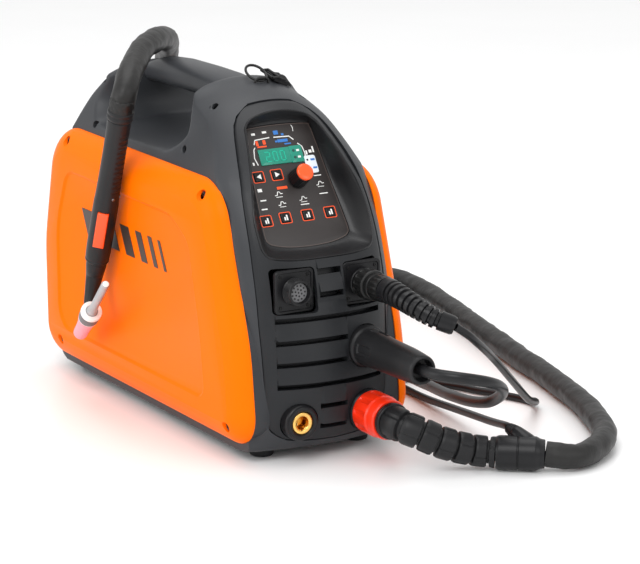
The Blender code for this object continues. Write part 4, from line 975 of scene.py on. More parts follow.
def build_prints():
    """Printed lines and symbols on the panel film."""
    lines = [((-0.03, 0.0728), (-0.0318, 0.08), (-0.03, 0.0885), (-0.0282, 0.0905)),
             ((-0.0282, 0.0935), (-0.0262, 0.098), (-0.01, 0.0992)),
             ((-0.0055, 0.099), (0.011, 0.0985), (0.0148, 0.0945)),
             ((0.0178, 0.0905), (0.0215, 0.087), (0.0228, 0.08), (0.0222, 0.0765))]
    white = [on_panel(stroke(line, 0.001)) for line in lines]
    white += printed_bars([(-0.0345, 0.0745, 0.0018, 0.003), (-0.0262, 0.104, 0.004, 0.0022),
                           (-0.014, 0.105, 0.0046, 0.002), (0.0246, 0.08, 0.0016, 0.0042),
                           (0.0288, 0.081, 0.003, 0.003), (0.0322, 0.0826, 0.0016, 0.0062),
                           (-0.0362, 0.0478, 0.0046, 0.0032), (-0.0355, 0.0375, 0.0062, 0.0012),
                           (-0.0368, 0.0288, 0.0062, 0.0012)])
    for x, y in ((-0.0177, 0.0425), (-0.017, 0.0325), (0.0065, 0.035), (0.029, 0.048)):
        white.append(on_panel(stroke(((x - 0.004, y - 0.0016), (x - 0.0018, y - 0.0016),
                                      (x - 0.0004, y + 0.0018), (x + 0.0012, y + 0.0018),
                                      (x + 0.0024, y - 0.0002), (x + 0.0044, y - 0.0002)), 0.00075)))
        white.append(on_panel(stroke(((x - 0.003, y - 0.0034), (x + 0.0036, y - 0.0034)), 0.0005)))
    for x, y, w in ((0.029, 0.056, 0.008), (0.03, 0.0375, 0.009), (0.007, 0.029, 0.009)):
        white.append(on_panel(stroke(((x - w / 2, y), (x + w / 2, y)), 0.0009)))
    white.append(on_panel(stroke(((0.017, 0.103), (0.0174, 0.107), (0.0166, 0.1095)), 0.0006)))
    merged("panel_signs_white", white, PRINT_WHITE)
    orange = printed_bars([(-0.0248, 0.0945, 0.0026, 0.005), (-0.017, 0.095, 0.003, 0.0044),
                           (-0.0205, 0.0908, 0.01, 0.0014), (-0.012, 0.048, 0.011, 0.0026)])
    merged("panel_signs_orange", orange, PRINT_ORANGE)
    blue = printed_bars([(-0.002, 0.1035, 0.005, 0.004), (0.0046, 0.101, 0.0026, 0.0022),
                         (0.003, 0.0948, 0.011, 0.003), (0.0075, 0.0912, 0.007, 0.0014),
                         (-0.004, 0.0945, 0.0022, 0.0018)])
    merged("panel_signs_blue", blue, PRINT_BLUE)
    outline = rounded_square(0.012, 0.018, 0.002, 5, (0.0262, 0.068))
    link("panel_key_label", on_panel(plate_mesh(outline, 0.0, 0.0003, 0.0001)), PANEL_WHITE)
    key_blue = [on_panel(box_mesh((x0, y0, 0.0002), (x1, y1, 0.0005)))
                for x0, y0, x1, y1 in ((0.0265, 0.0715, 0.031, 0.0735), (0.027, 0.0632, 0.0312, 0.065))]
    merged("panel_key_marks", key_blue, PRINT_BLUE)
    key_dark = [on_panel(box_mesh((0.0222, 0.0717, 0.0002), (0.024, 0.0735, 0.0005)))]
    merged("panel_key_dots", key_dark, BLACK)
    edge = grown(catmull(mirrored(PANEL_EDGE), 5, closed=True), -0.0006)
    link("panel_edge_line", on_panel(frame_mesh(edge, 0.00045, 0.0, 0.0002)), PRINT_GREY)


def build_knob():
    """Control knob with its cap."""
    r, h = 0.0095, 0.0175
    place = PANEL @ Matrix.Translation((*KNOB_PLACE, 0.0))

    def flute(a, z):
        return -0.00035 * (0.5 + 0.5 * math.cos(24 * a)) if 0.0022 < z < h - 0.0016 else 0.0

    body = [
        (0.0004, 0.0006), (r * 0.96, 0.0006), (r, 0.0012), (r, 0.002), (r * 0.985, 0.0026),
        (r * 0.95, h - 0.002), (r * 0.93, h - 0.0008), (r * 0.86, h), (0.0004, h)
    ]
    knob = link("control_knob_body", moved(turned(body, 120, wave=flute), place), BLACK, "knob")
    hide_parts("control_knob")
    cap = [(0.0004, h + 0.0001), (r * 0.88, h + 0.0001), (r * 0.89, h + 0.001), (r * 0.86, h + 0.0019),
           (r * 0.78, h + 0.0025), (r * 0.4, h + 0.0027), (0.0004, h + 0.0027)]
    top = link("control_knob_cap", moved(turned(cap, 64), place), ACCENT, "knob")
    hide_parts("knob_cap")


def small_screw(place, radius=0.0016, height=0.0009):
    """Round screw head with a socket in it."""
    profile = [(radius, -0.0004), (radius, height * 0.5), (radius * 0.8, height), (radius * 0.45, height),
               (radius * 0.42, height * 0.2), (0.0001, height * 0.2)]
    return moved(turned(profile, 20), place)


def build_control_sockets():
    """Both round control sockets, and the plug with its strain relief."""
    for side, node in ((-1, "control_socket_open"), (1, "control_socket_used")):
        place = along((side * SOCKET_X, CONTROL_SOCKET_Y, CONTROL_SOCKET_Z), CONTROL_WAY)
        outline = rounded_square(PLATE, PLATE, 0.0042)
        inner = rounded_square(PLATE - 0.006, PLATE - 0.006, 0.003)
        rings = levels([(outline, -0.0035), (outline, -0.0004), (grown(outline, -0.0006), 0.0001),
                        (grown(inner, 0.0006), 0.0001), (inner, -0.0008)])
        plate = link(f"{node}_plate", moved(loft(rings, angle=30), place), BLACK)
        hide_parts(node)
        screws = [small_screw(place @ Matrix.Translation((sx * 0.0146, sy * 0.0146, -0.0006)))
                  for sx in (-1, 1) for sy in (-1, 1)]
        merged(f"{node}_screws", screws, GUNMETAL)
        if side < 0:
            profile = [(0.0094, -0.001), (0.0128, -0.001), (0.013, 0.0004), (0.0123, 0.001)]
            for k in range(7):
                z = 0.0016 + k * 0.0013
                profile += [(0.0123, z), (0.0117, z + 0.00045), (0.0123, z + 0.0009)]
            profile += [(0.012, 0.0114), (0.0114, 0.0116), (0.01, 0.0116), (0.0096, 0.0108)]
            link("control_socket_barrel", moved(turned(profile, 64, ring=True), place), BLACK)
            insert = [(0.0001, 0.0), (0.0094, 0.0), (0.0094, 0.007), (0.009, 0.0074), (0.0001, 0.0074)]
            link("control_socket_insert", moved(turned(insert, 48), place), MID_GREY)
            holes = []
            for radius, count in ((0.0, 1), (0.0034, 6), (0.0067, 11)):
                for k in range(count):
                    a = 2 * math.pi * k / count + 0.2
                    spot = place @ Matrix.Translation((radius * math.cos(a), radius * math.sin(a), 0.0))
                    holes.append(moved(turned([(0.0009, 0.007), (0.0009, 0.0076), (0.0006, 0.0077)], 12),
                                       spot))
            merged("control_socket_pins", holes, BLACK)
        else:
            profile = [(0.01, -0.001), (0.0131, -0.001), (0.0131, 0.0012), (0.0123, 0.0018),
                       (0.0123, 0.0046), (0.0118, 0.005), (0.01, 0.005)]
            link("control_socket_collar", moved(turned(profile, 56, ring=True), place), BLACK)
    place = along((SOCKET_X, CONTROL_SOCKET_Y, CONTROL_SOCKET_Z), CONTROL_WAY)
    body = [
        (0.0001, 0.0055), (0.0112, 0.0055), (0.0112, 0.0225), (0.0124, 0.0229), (0.0127, 0.0238),
        (0.0127, 0.0275), (0.0121, 0.028), (0.0121, 0.03), (0.0128, 0.0305), (0.0128, 0.0395),
        (0.0124, 0.0405), (0.0118, 0.044), (0.0001, 0.044)
    ]

    def grip(a, z):
        return -0.0005 * (math.cos(16 * a) > 0.2) if 0.0303 < z < 0.0398 else 0.0

    plug = link("control_plug_shell", moved(turned(body, 96, wave=grip), place), GUNMETAL)
    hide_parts("control_plug")

    def knurl(a, z):
        return -0.0006 * (math.cos(14 * a) > 0.1) if 0.0085 < z < 0.02 else 0.0

    ring = [(0.0116, 0.0056), (0.0136, 0.0056), (0.0143, 0.0062), (0.0146, 0.0075), (0.0146, 0.0084),
            (0.0146, 0.0088), (0.0146, 0.0196), (0.0146, 0.0205), (0.0141, 0.0218), (0.0136, 0.0222),
            (0.0116, 0.0222)]
    coupling = link("control_plug_coupling", moved(turned(ring, 112, ring=True, wave=knurl), place),
                    GUNMETAL, "plug_ring")
    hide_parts("control_plug_ring")
    start = Vector((SOCKET_X, CONTROL_SOCKET_Y, CONTROL_SOCKET_Z)) + CONTROL_WAY * 0.0446
    line = even(catmull([tuple(start), (0.037, -0.27, 0.166), (0.0382, -0.287, 0.1635),
                         (0.043, -0.304, 0.158), (0.052, -0.318, 0.151), (0.067, -0.3288, 0.1438)], 16),
                0.00075)
    total = length_of(line)

    def ribbed(s, a):
        t = s / total
        base = between([(0, 0.0121), (0.1, 0.0121), (0.84, 0.0092), (0.97, 0.009), (1, 0.008)], t)
        if 0.08 < t < 0.84:
            phase = (s / 0.0062) % 1.0
            return base - 0.0022 * (phase > 0.58)
        return base

    relief = link("control_relief_ribs", tube(line, ribbed, 28, angle=35), BLACK)
    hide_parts("control_strain_relief")
    return plug, coupling, relief


def build_brass_socket():
    """Brass welding socket at the lower left."""
    place = along(BRASS_SOCKET, (0, -1, 0))
    profile = [
        (0.011, -0.008), (0.0175, -0.008), (0.0177, -0.0005), (0.0174, 0.0012), (0.0168, 0.0024),
        (0.016, 0.003), (0.0158, 0.0042), (0.015, 0.0047), (0.0132, 0.0047), (0.012, 0.0043),
        (0.0112, 0.0033), (0.011, 0.002)
    ]
    ring = link("brass_socket_surround", moved(turned(profile, 72, ring=True), place), BLACK)
    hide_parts("brass_socket_ring")
    profile = [
        (0.0062, -0.012), (0.0106, -0.012), (0.0108, 0.0026), (0.0104, 0.0033), (0.0098, 0.0036),
        (0.0074, 0.0036), (0.0066, 0.003), (0.0062, 0.002)
    ]
    insert = link("brass_socket_insert", moved(turned(profile, 72, ring=True), place), BRASS)
    link("brass_socket_floor", moved(turned([(0.0001, -0.0125), (0.0066, -0.0125), (0.0066, -0.011),
                                                     (0.0036, -0.0108), (0.0034, -0.004), (0.0022, -0.003),
                                                     (0.0001, -0.003)], 40), place), BRASS_DARK)
    keyway = [moved(box_mesh((-0.0018, 0.0055, -0.01), (0.0018, 0.0084, 0.003), 0.0004), place)]
    for turn in (1.6, 3.7):
        tab = box_mesh((0.005, -0.0016, -0.01), (0.008, 0.0016, 0.003), 0.0004)
        keyway.append(moved(tab, place @ Matrix.Rotation(turn, 4, "Z")))
    merged("brass_socket_key", keyway, BRASS)
    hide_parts("brass_socket")


def build_torch_connector():
    """Torch socket, plug, lock collar, strain relief and the collector of its leads."""
    place = along(TORCH_SOCKET, (0, -1, 0))
    flange = [
        (0.0146, -0.006), (0.02, -0.006), (0.02, 0.0016), (0.0196, 0.003), (0.0188, 0.004), (0.018, 0.0048),
        (0.0146, 0.005)
    ]
    ring = link("torch_socket_flange", moved(turned(flange, 72, ring=True), place), BLACK)
    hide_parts("torch_socket_ring")
    body = [
        (0.0001, -0.01), (0.0138, -0.01), (0.0138, 0.0416), (0.0168, 0.0421), (0.0174, 0.0426),
        (0.0174, 0.044), (0.017, 0.0444), (0.0174, 0.0448), (0.0176, 0.0466), (0.0172, 0.0476),
        (0.0165, 0.048), (0.0001, 0.048)
    ]
    plug = link("torch_plug_core", moved(turned(body, 64), place), BLACK)
    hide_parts("torch_plug_body")

    def flutes(a, z):
        if 0.0095 < z < 0.0275:
            return -0.0013 * max(0.0, math.cos(9 * a)) ** 0.6 if math.cos(9 * a) > 0 else 0.0
        return 0.0

    collar = [
        (0.0143, 0.0055), (0.019, 0.0055), (0.0198, 0.006), (0.0205, 0.0076), (0.0206, 0.0088),
        (0.0206, 0.0102), (0.0206, 0.018), (0.0206, 0.0262), (0.0206, 0.0278), (0.0202, 0.029),
        (0.0196, 0.03), (0.0194, 0.0312), (0.0194, 0.0392), (0.019, 0.0406), (0.0182, 0.0415),
        (0.0143, 0.0415)
    ]
    lock = link("torch_lock_ring", moved(turned(collar, 144, ring=True, wave=flutes), place), RED,
                "lock_collar")
    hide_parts("torch_lock_collar")
    marks = []
    for k in range(7):
        a = math.radians(150 + 14 * k)
        spot = place @ Matrix.Rotation(a, 4, "Z") @ Matrix.Translation((0.0174, 0.0, 0.0457))
        tall = 0.0012 if k % 2 else 0.0007
        marks.append(moved(box_mesh((-0.0004, -0.0004, -tall), (0.0003, 0.0004, tall)), spot))
    merged("torch_plug_marks", marks, PRINT_WHITE)

    line = even(catmull([(0.036, -0.2745, 0.043), (0.036, -0.284, 0.043), (0.04, -0.292, 0.041),
                         (0.051, -0.3005, 0.0358), (0.064, -0.3085, 0.029), (0.08, -0.315, 0.023),
                         (0.094, -0.3195, 0.019), (0.1045, -0.3245, 0.0172), (0.1124, -0.3304, 0.0167)], 16),
                0.0008)
    total, pitch = length_of(line), 0.0168

    def segmented(s, a):
        t = s / total
        base = between([(0, 0.016), (0.6, 0.0152), (1, 0.0147)], t)
        phase = (s / pitch) % 1.0
        groove = 0.004 if phase > 0.82 else 0.0
        rise, fall = max(0.0, 1 - phase / 0.12), max(0.0, 1 - (0.82 - phase) / 0.1)
        soft = 0.0008 * rise + 0.0008 * fall * (phase < 0.82)
        turn = (a / (math.pi / 2) + (int(s / pitch) % 2) * 0.5) % 1.0
        notch = 0.0012 if abs(turn - 0.5) < 0.06 else 0.0
        return base - groove - min(soft, 0.001) - (notch if not groove else 0.0)

    relief = link("torch_relief_links", tube(line, segmented, 40, angle=30), RUBBER_GREY)
    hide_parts("torch_strain_relief")
    line = even(catmull([(0.1128, -0.3307, 0.0167), (0.124, -0.3387, 0.0167), (0.136, -0.3475, 0.0166),
                         (0.1495, -0.3576, 0.0164)], 16), 0.0007)
    total_line = length_of(line)

    def sleeve(s, a):
        t = s / total_line
        base = between([(0, 0.0148), (0.06, 0.0161), (0.82, 0.0161), (0.9, 0.0142), (1, 0.0134)], t)
        return base - (0.0007 if 0.44 < t < 0.475 else 0.0)

    collector = link("lead_collector", tube(line, sleeve, 40, angle=35), BLACK)
    branch_line = even(catmull([(0.142, -0.351, 0.02), (0.1378, -0.342, 0.0262), (0.135, -0.332, 0.0318),
                                (0.1336, -0.3215, 0.0346)], 12), 0.0006)
    total_branch = length_of(branch_line)

    def branch_radius(s, a):
        t = s / total_branch
        base = between([(0, 0.0105), (0.35, 0.0094), (0.75, 0.007), (1, 0.0052)], t)
        return base - (0.0005 if t > 0.7 and (s / 0.0024) % 1.0 > 0.6 else 0.0)

    link("lead_collector_branch", tube(branch_line, branch_radius, 28, angle=35), BLACK)
    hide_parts("cable_collector")
    return collector


def build_return_boot():
    """Rubber boot on the return lead's plug."""
    place = along(RETURN_SOCKET, (0, -1, 0))
    profile = [
        (0.0001, -0.008), (0.0185, -0.008), (0.0202, -0.004), (0.0202, 0.0024), (0.0198, 0.0034),
        (0.0186, 0.0042), (0.018, 0.005), (0.0178, 0.008), (0.0176, 0.02), (0.017, 0.029), (0.0166, 0.034),
        (0.0163, 0.05), (0.016, 0.07), (0.0156, 0.078), (0.015, 0.086), (0.0145, 0.092), (0.014, 0.0965),
        (0.0132, 0.0984), (0.012, 0.099), (0.0108, 0.0984), (0.01, 0.0965), (0.0094, 0.09), (0.0001, 0.0895)
    ]

    def panels(a, z):
        if 0.01 < z < 0.03:
            return -0.0014 * (math.cos(4 * a + 0.6) > 0.55)
        return 0.0

    dense = []
    for (r0, z0), (r1, z1) in zip(profile, profile[1:]):
        steps = max(1, round(abs(z1 - z0) / 0.0012))
        dense += [(r0 + (r1 - r0) * k / steps, z0 + (z1 - z0) * k / steps) for k in range(steps)]
    dense.append(profile[-1])
    boot = link("return_plug_sleeve", moved(turned(dense, 88, wave=panels, angle=35), place), RUBBER_GREY)
    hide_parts("return_plug_boot")
    stub = [(0.0001, 0.085), (0.0055, 0.085), (0.0055, 0.1008), (0.0001, 0.1008)]
    # 0.1 mm off the lead's own line, so that the two surfaces are not in one place
    link("return_lead_root", moved(turned(stub, 32), Matrix.Translation((0.0001, 0.0, 0.0)) @ place), CABLE)


# ------------------------------------------------------------------ side panels
PANEL_CORNERS = [
    (-0.2195, 0.0175, 0.03), (-0.208, 0.11, 0.2), (-0.157, 0.261, 0.048), (0.186, 0.261, 0.052),
    (0.214, 0.14, 0.16), (0.212, 0.0175, 0.034)
]
INNER_CORNERS = [
    (-0.1465, 0.055, 0.01), (-0.137, 0.12, 0.3), (-0.117, 0.198, 0.02), (-0.083, 0.217, 0.05),
    (0.14, 0.219, 0.022), (0.165, 0.16, 0.1), (0.164, 0.055, 0.022)
]
SIDE_SCREWS = [(0.148, 0.2495), (-0.1375, 0.248), (0.164, 0.038), (-0.189, 0.0355)]


def arc_outline(corners, fine=10):
    """Outline with each (y, z, radius) corner rounded."""
    points = []
    count = len(corners)
    for i, (y, z, radius) in enumerate(corners):
        here = Vector((y, z))
        before = (Vector(corners[i - 1][:2]) - here).normalized()
        after = (Vector(corners[(i + 1) % count][:2]) - here).normalized()
        half_angle = before.angle(after) / 2
        reach = radius / math.tan(half_angle)
        centre = here + (before + after).normalized() * (radius / math.sin(half_angle))
        start, end = here + before * reach - centre, here + after * reach - centre
        for k in range(fine + 1):
            points.append(centre + start.lerp(end, k / fine).normalized() * radius)
    return [(p.x, p.y) for p in points]


def build_side_panel(side):
    """Pressed side panel with its seat, screws and printed stripes."""
    name = "side_panel_right" if side > 0 else "side_panel_left"
    outline = arc_outline(PANEL_CORNERS)
    seat = 0.0787
    outer = catmull([(0.0, seat), (0.0004, 0.0815), (0.003, 0.086), (0.0075, 0.0903), (0.014, 0.0942),
                     (0.022, 0.0972)], 4)
    inner = [(0.0235, 0.0942), (0.0155, 0.0913), (0.01, 0.088), (0.0062, 0.084), (0.0036, seat)]

    def ring(inset, x):
        line = grown(outline, inset)
        return [Vector((side * x, y, z)) for y, z in line]

    rings = [ring(*pair) for pair in reversed(outer)] + [ring(*pair) for pair in reversed(inner)]
    panel = link(f"{name}_shell", loft(rings, angle=30), ORANGE)
    rim_steps = [(0.0045, 0.05), (0.0016, 0.062), (0.0014, 0.0812), (0.01, 0.0812), (0.01, 0.05)]
    link(f"{name}_seat", loft([ring(*pair) for pair in rim_steps], closed=True, angle=35), CHARCOAL)
    recess = arc_outline(INNER_CORNERS)
    deep = 0.0951
    steps = [
        (0.0, deep), (0.0006, deep + 0.0002), (0.0014, deep + 0.0009), (0.002, deep + 0.0016),
        (0.0032, deep + 0.002), (0.0032, 0.1)
    ]
    layers = [[Vector((side * x, y, z)) for y, z in grown(recess, -g)] for g, x in steps]
    cut(panel, loft(layers))
    wells, screws, places = [], [], []
    for y, z in SIDE_SCREWS:
        hit, place, _, _ = panel.ray_cast(Vector((side * 0.2, y, z)), Vector((-side, 0, 0)))
        if not hit:
            raise ValueError("a screw well misses the side panel")
        places.append(along(place - Vector((side * 0.0046, 0, 0)), (side, 0, 0)))
    for place in places:
        cut(panel, moved(turned([(0.0044, 0.0), (0.0048, 0.0034), (0.0056, 0.005), (0.0056, 0.012)], 28),
                         place))
        wells.append(moved(turned([(0.0001, -0.002), (0.0046, -0.002), (0.0046, 0.0004), (0.0001, 0.0004)],
                                  24), place))
        screws.append(moved(turned([(0.0001, 0.0004), (0.003, 0.0004), (0.003, 0.0016), (0.0022, 0.0024),
                                    (0.0011, 0.0024), (0.001, 0.0012), (0.0001, 0.0012)], 18), place))
    # The well floors take the darker orange: painted shade in the screw wells.
    merged(f"{name}_wells", wells, ORANGE_PAINTED_SHADE)
    merged(f"{name}_screws", screws, GUNMETAL)
    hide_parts(name)
    x = 0.0954
    bars = []
    for k, (y, wide, low, high) in enumerate(((0.088, 0.03, 0.16, 0.188), (0.046, 0.024, 0.16, 0.188),
                                              (0.01, 0.018, 0.16, 0.188), (-0.02, 0.012, 0.16, 0.188),
                                              (-0.044, 0.008, 0.16, 0.188), (-0.0635, 0.005, 0.16, 0.188))):
        lean = 0.007
        quad = [(y - wide / 2 - lean, low), (y + wide / 2 - lean, low), (y + wide / 2 + lean, high),
                (y - wide / 2 + lean, high)]
        bars.append(loft([[Vector((side * h, a, b)) for a, b in quad] for h in (x - 0.0002, x + 0.0003)]))
    merged(f"{name}_stripes", bars, PRINT_GREY_DARK)


# ------------------------------------------------------------------ torch
TORCH_TOP = Vector((-0.111, -0.0125, 0.3095))
TORCH_GRIP_END = Vector((-0.111, 0.0465, 0.149))
TORCH_HEAD = Vector((-0.122, 0.0413, 0.0963))
CUP_WAY = Vector((0.157, 0.79, -0.593))
TRIGGER_WAY = Vector((-0.56, -0.79, -0.22))
TRIGGER_LOW, TRIGGER_HIGH = 0.11, 0.149
RIBS_FACE = Vector((0.35, -0.92, 0.1))


def build_torch():
    """Torch, from the hose clamp to the cup and back cap."""
    frame = along(TORCH_TOP, TORCH_GRIP_END - TORCH_TOP, TRIGGER_WAY)
    grip = (TORCH_GRIP_END - TORCH_TOP).length
    ribs_way = frame.to_3x3().inverted() @ RIBS_FACE
    rib_angle = math.atan2(ribs_way.y, ribs_way.x)
    cuff = [
        (0.0001, 0.0), (0.0124, 0.0), (0.0128, 0.0004), (0.013, 0.0014), (0.013, 0.003), (0.0127, 0.0034),
        (0.0127, 0.0048), (0.013, 0.0052), (0.013, 0.0078), (0.0127, 0.0086), (0.0122, 0.0096),
        (0.0001, 0.0096)
    ]
    collar = link("torch_hose_clamp", moved(turned(cuff, 64), frame), RUBBER_GREY)
    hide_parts("torch_hose_collar")

    def gathers(a, z):
        return 0.0005 * math.sin(13 * a + 900 * z) * (z < -0.002)

    gather = [
        (0.0001, -0.013), (0.0112, -0.0128), (0.012, -0.011), (0.0121, -0.008), (0.012, -0.005),
        (0.0117, -0.0028), (0.0121, -0.0018), (0.0121, 0.0006), (0.0001, 0.0006)
    ]
    link("torch_hose_gather", moved(turned(gather, 96, wave=gathers, angle=60), frame), SHEATH)

    shape = catmull([(0.0108, 0.01), (0.0117, 0.0112), (0.0118, 0.0135), (0.0114, 0.03), (0.0113, 0.05),
                     (0.0115, 0.075), (0.0119, 0.095), (0.0124, 0.105), (0.0125, 0.125), (0.0124, 0.152),
                     (0.0121, grip - 0.007), (0.0117, grip - 0.0032), (0.012, grip - 0.0024),
                     (0.0118, grip - 0.0008), (0.011, grip)], 6)
    dense = [(0.0001, 0.01)]
    for (r0, z0), (r1, z1) in zip(shape, shape[1:]):
        steps = max(1, round(abs(z1 - z0) / 0.0007))
        dense += [(r0 + (r1 - r0) * k / steps, z0 + (z1 - z0) * k / steps) for k in range(steps)]
    dense += [shape[-1], (0.0001, grip)]

    def ribs(a, z):
        local = (a - rib_angle + math.pi) % (2 * math.pi) - math.pi
        low = 0.022
        if low < z < 0.088 and abs(local) < 0.62:
            fade = 1.0 if abs(local) < 0.52 else (0.62 - abs(local)) / 0.1
            return 0.0006 * fade * (((z - low) / 0.0056) % 1.0 < 0.42) - 0.0003 * fade
        if abs(((a - math.pi / 2) % math.pi)) < 0.03:
            return -0.0003
        return 0.0

    handle = link("torch_grip", moved(turned(dense, 96, wave=ribs, angle=35), frame), BLACK_SATIN)
    pocket = box_mesh((0.005, -0.006, TRIGGER_LOW - 0.0005), (0.025, 0.006, TRIGGER_HIGH + 0.0005))
    cut(handle, moved(pocket, frame))
    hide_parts("torch_handle")
    studs = []
    for turn in (-0.55, 0.35):
        a = rib_angle + turn
        spot = frame @ Matrix.Translation((0.0118 * math.cos(a), 0.0118 * math.sin(a), 0.0945))
        spot = spot @ Matrix.Rotation(a, 4, "Z") @ Matrix.Rotation(math.pi / 2, 4, "Y")
        studs.append(moved(turned([(0.0001, -0.001), (0.0017, -0.001), (0.0017, 0.0003), (0.0013, 0.0008),
                                   (0.0008, 0.0008), (0.0007, 0.0001), (0.0001, 0.0001)], 20), spot))
    merged("torch_grip_screws", studs, STEEL_DARK)

    half, low, high = 0.0055, TRIGGER_LOW, TRIGGER_HIGH
    trigger = box_mesh((0.0074, -half, low), (0.0144, half, high), 0.001, 4)
    for vertex in trigger.vertices:
        if vertex.co.x > 0.012:
            t = (vertex.co.z - low) / (high - low) * 2 - 1
            vertex.co.x -= 0.0004 * (1 - t * t) + 0.05 * vertex.co.y ** 2 / 0.0055
    key = link("torch_trigger_key", moved(trigger, frame), ACCENT, "trigger")
    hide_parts("torch_trigger")

    down = (TORCH_GRIP_END - TORCH_TOP).normalized()
    head_place = along(TORCH_HEAD, CUP_WAY, (1, 0, 0))
    joint = TORCH_HEAD + CUP_WAY.normalized() * 0.004
    line = even(catmull([tuple(TORCH_GRIP_END - down * 0.001), tuple(TORCH_GRIP_END + down * 0.01),
                         tuple(TORCH_GRIP_END + down * 0.02),
                         tuple(joint + Vector((0.0048, 0.0062, 0.0165))),
                         tuple(joint + Vector((0.001, 0.0018, 0.004)))], 10), 0.0012)
    total = length_of(line)
    neck = link("torch_neck_tube",
                tube(line, lambda s, a: between([(0, 0.0104), (0.12, 0.0102), (0.25, 0.0092), (0.7, 0.0066),
                                                 (1, 0.006)], s / total), 32), BLACK_SATIN)
    head = [
        (0.0001, -0.003), (0.0096, -0.003), (0.0101, -0.0024), (0.0102, -0.0012), (0.0102, 0.0074),
        (0.0099, 0.0084), (0.0094, 0.0089), (0.0001, 0.0089)
    ]
    link("torch_head_body", moved(turned(head, 56), head_place), MID_GREY)
    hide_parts("torch_neck")
    ring = [
        (0.0062, -0.0085), (0.0096, -0.0085), (0.0103, -0.0081), (0.0106, -0.0073), (0.0106, -0.0042),
        (0.0103, -0.0036), (0.0099, -0.0033), (0.0062, -0.0033)
    ]
    white = link("torch_head_insulator", moved(turned(ring, 56, ring=True), head_place), WHITE)
    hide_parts("torch_head_ring")
    cup = [
        (0.0056, 0.0093), (0.0088, 0.0093), (0.0092, 0.0098), (0.0092, 0.0146), (0.0088, 0.0158),
        (0.0084, 0.018), (0.0079, 0.026), (0.0075, 0.034), (0.0073, 0.044), (0.0072, 0.0492),
        (0.0069, 0.0499), (0.0055, 0.05), (0.0052, 0.0492), (0.0054, 0.022)
    ]
    nozzle = link("torch_cup_body", moved(turned(cup, 56, ring=True), head_place), PINK)
    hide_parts("torch_cup")
    tip = [(0.0001, 0.008), (0.0012, 0.008), (0.0012, 0.0505), (0.0009, 0.0522), (0.0002, 0.055)]
    link("torch_electrode", moved(turned(tip, 24), head_place), STEEL)
    cap = [
        (0.0001, -0.0034), (0.0058, -0.0034), (0.0058, -0.0088), (0.0055, -0.0096), (0.0047, -0.0112),
        (0.0043, -0.0122), (0.0042, -0.016), (0.0041, -0.03), (0.0041, -0.07), (0.0038, -0.0704),
        (0.0038, -0.0712), (0.0041, -0.0716), (0.0041, -0.0748), (0.0038, -0.0758), (0.0032, -0.0764),
        (0.0001, -0.0765)
    ]

    def knurl(a, z):
        return -0.0004 * (math.cos(18 * a) > 0.2) if -0.0087 < z < -0.004 else 0.0

    back = link("torch_back_cap_body", moved(turned(list(reversed(cap)), 90, wave=knurl), head_place),
                SILVER, "back_cap")
    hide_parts("torch_back_cap")
    link("torch_head_seam", moved(turned([(0.006, 0.0086), (0.0097, 0.0086), (0.01, 0.009), (0.0097, 0.0095),
                                          (0.006, 0.0095)], 56, ring=True), head_place), WHITE)
    band = [(0.0001, -0.0762), (0.003, -0.0762), (0.003, -0.0767), (0.0026, -0.0769), (0.0001, -0.0769)]
    link("torch_back_cap_end", moved(turned(list(reversed(band)), 40), head_place), WHITE, "back_cap")


# ------------------------------------------------------------------ base, rear, clamp, strap
def build_base():
    """Base tray with its slots, and the feet."""
    tray = box_mesh((-0.069, -0.164, 0.0025), (0.069, 0.164, 0.0087), 0.0012)
    base = link("base_tray_plate", tray, SHEET)
    for y in (-0.12, -0.06, 0.0, 0.06, 0.12):
        cut(base, box_mesh((-0.04, y - 0.0035, -0.01), (0.04, y + 0.0035, 0.005)))
    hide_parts("base_tray")
    top = box_mesh((-0.0658, -0.1598, 0.008), (0.0658, 0.1598, 0.0121), 0.0006)
    link("base_tray_raised", top, SHEET)
    for name, x, y in (("foot_front_left", -0.052, -0.179), ("foot_front_right", 0.052, -0.179),
                       ("foot_rear_left", -0.052, 0.179), ("foot_rear_right", 0.052, 0.179)):
        profile = [
            (0.0022, 0.0024), (0.0024, 0.0004), (0.0044, 0.0), (0.0095, 0.0), (0.0106, 0.0005),
            (0.0113, 0.0016), (0.0116, 0.004), (0.012, 0.0064), (0.012, 0.0087), (0.0022, 0.0087)
        ]
        foot = link(f"{name}_pad", moved(turned(profile, 48, ring=True), Matrix.Translation((x, y, 0))),
                    RUBBER)
        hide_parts(name)
        shoe = box_mesh((x - 0.015, y - 0.017, 0.0084), (x + 0.015, y + 0.017, 0.012), 0.001)
        link(f"{name}_mount", shoe, BLACK)


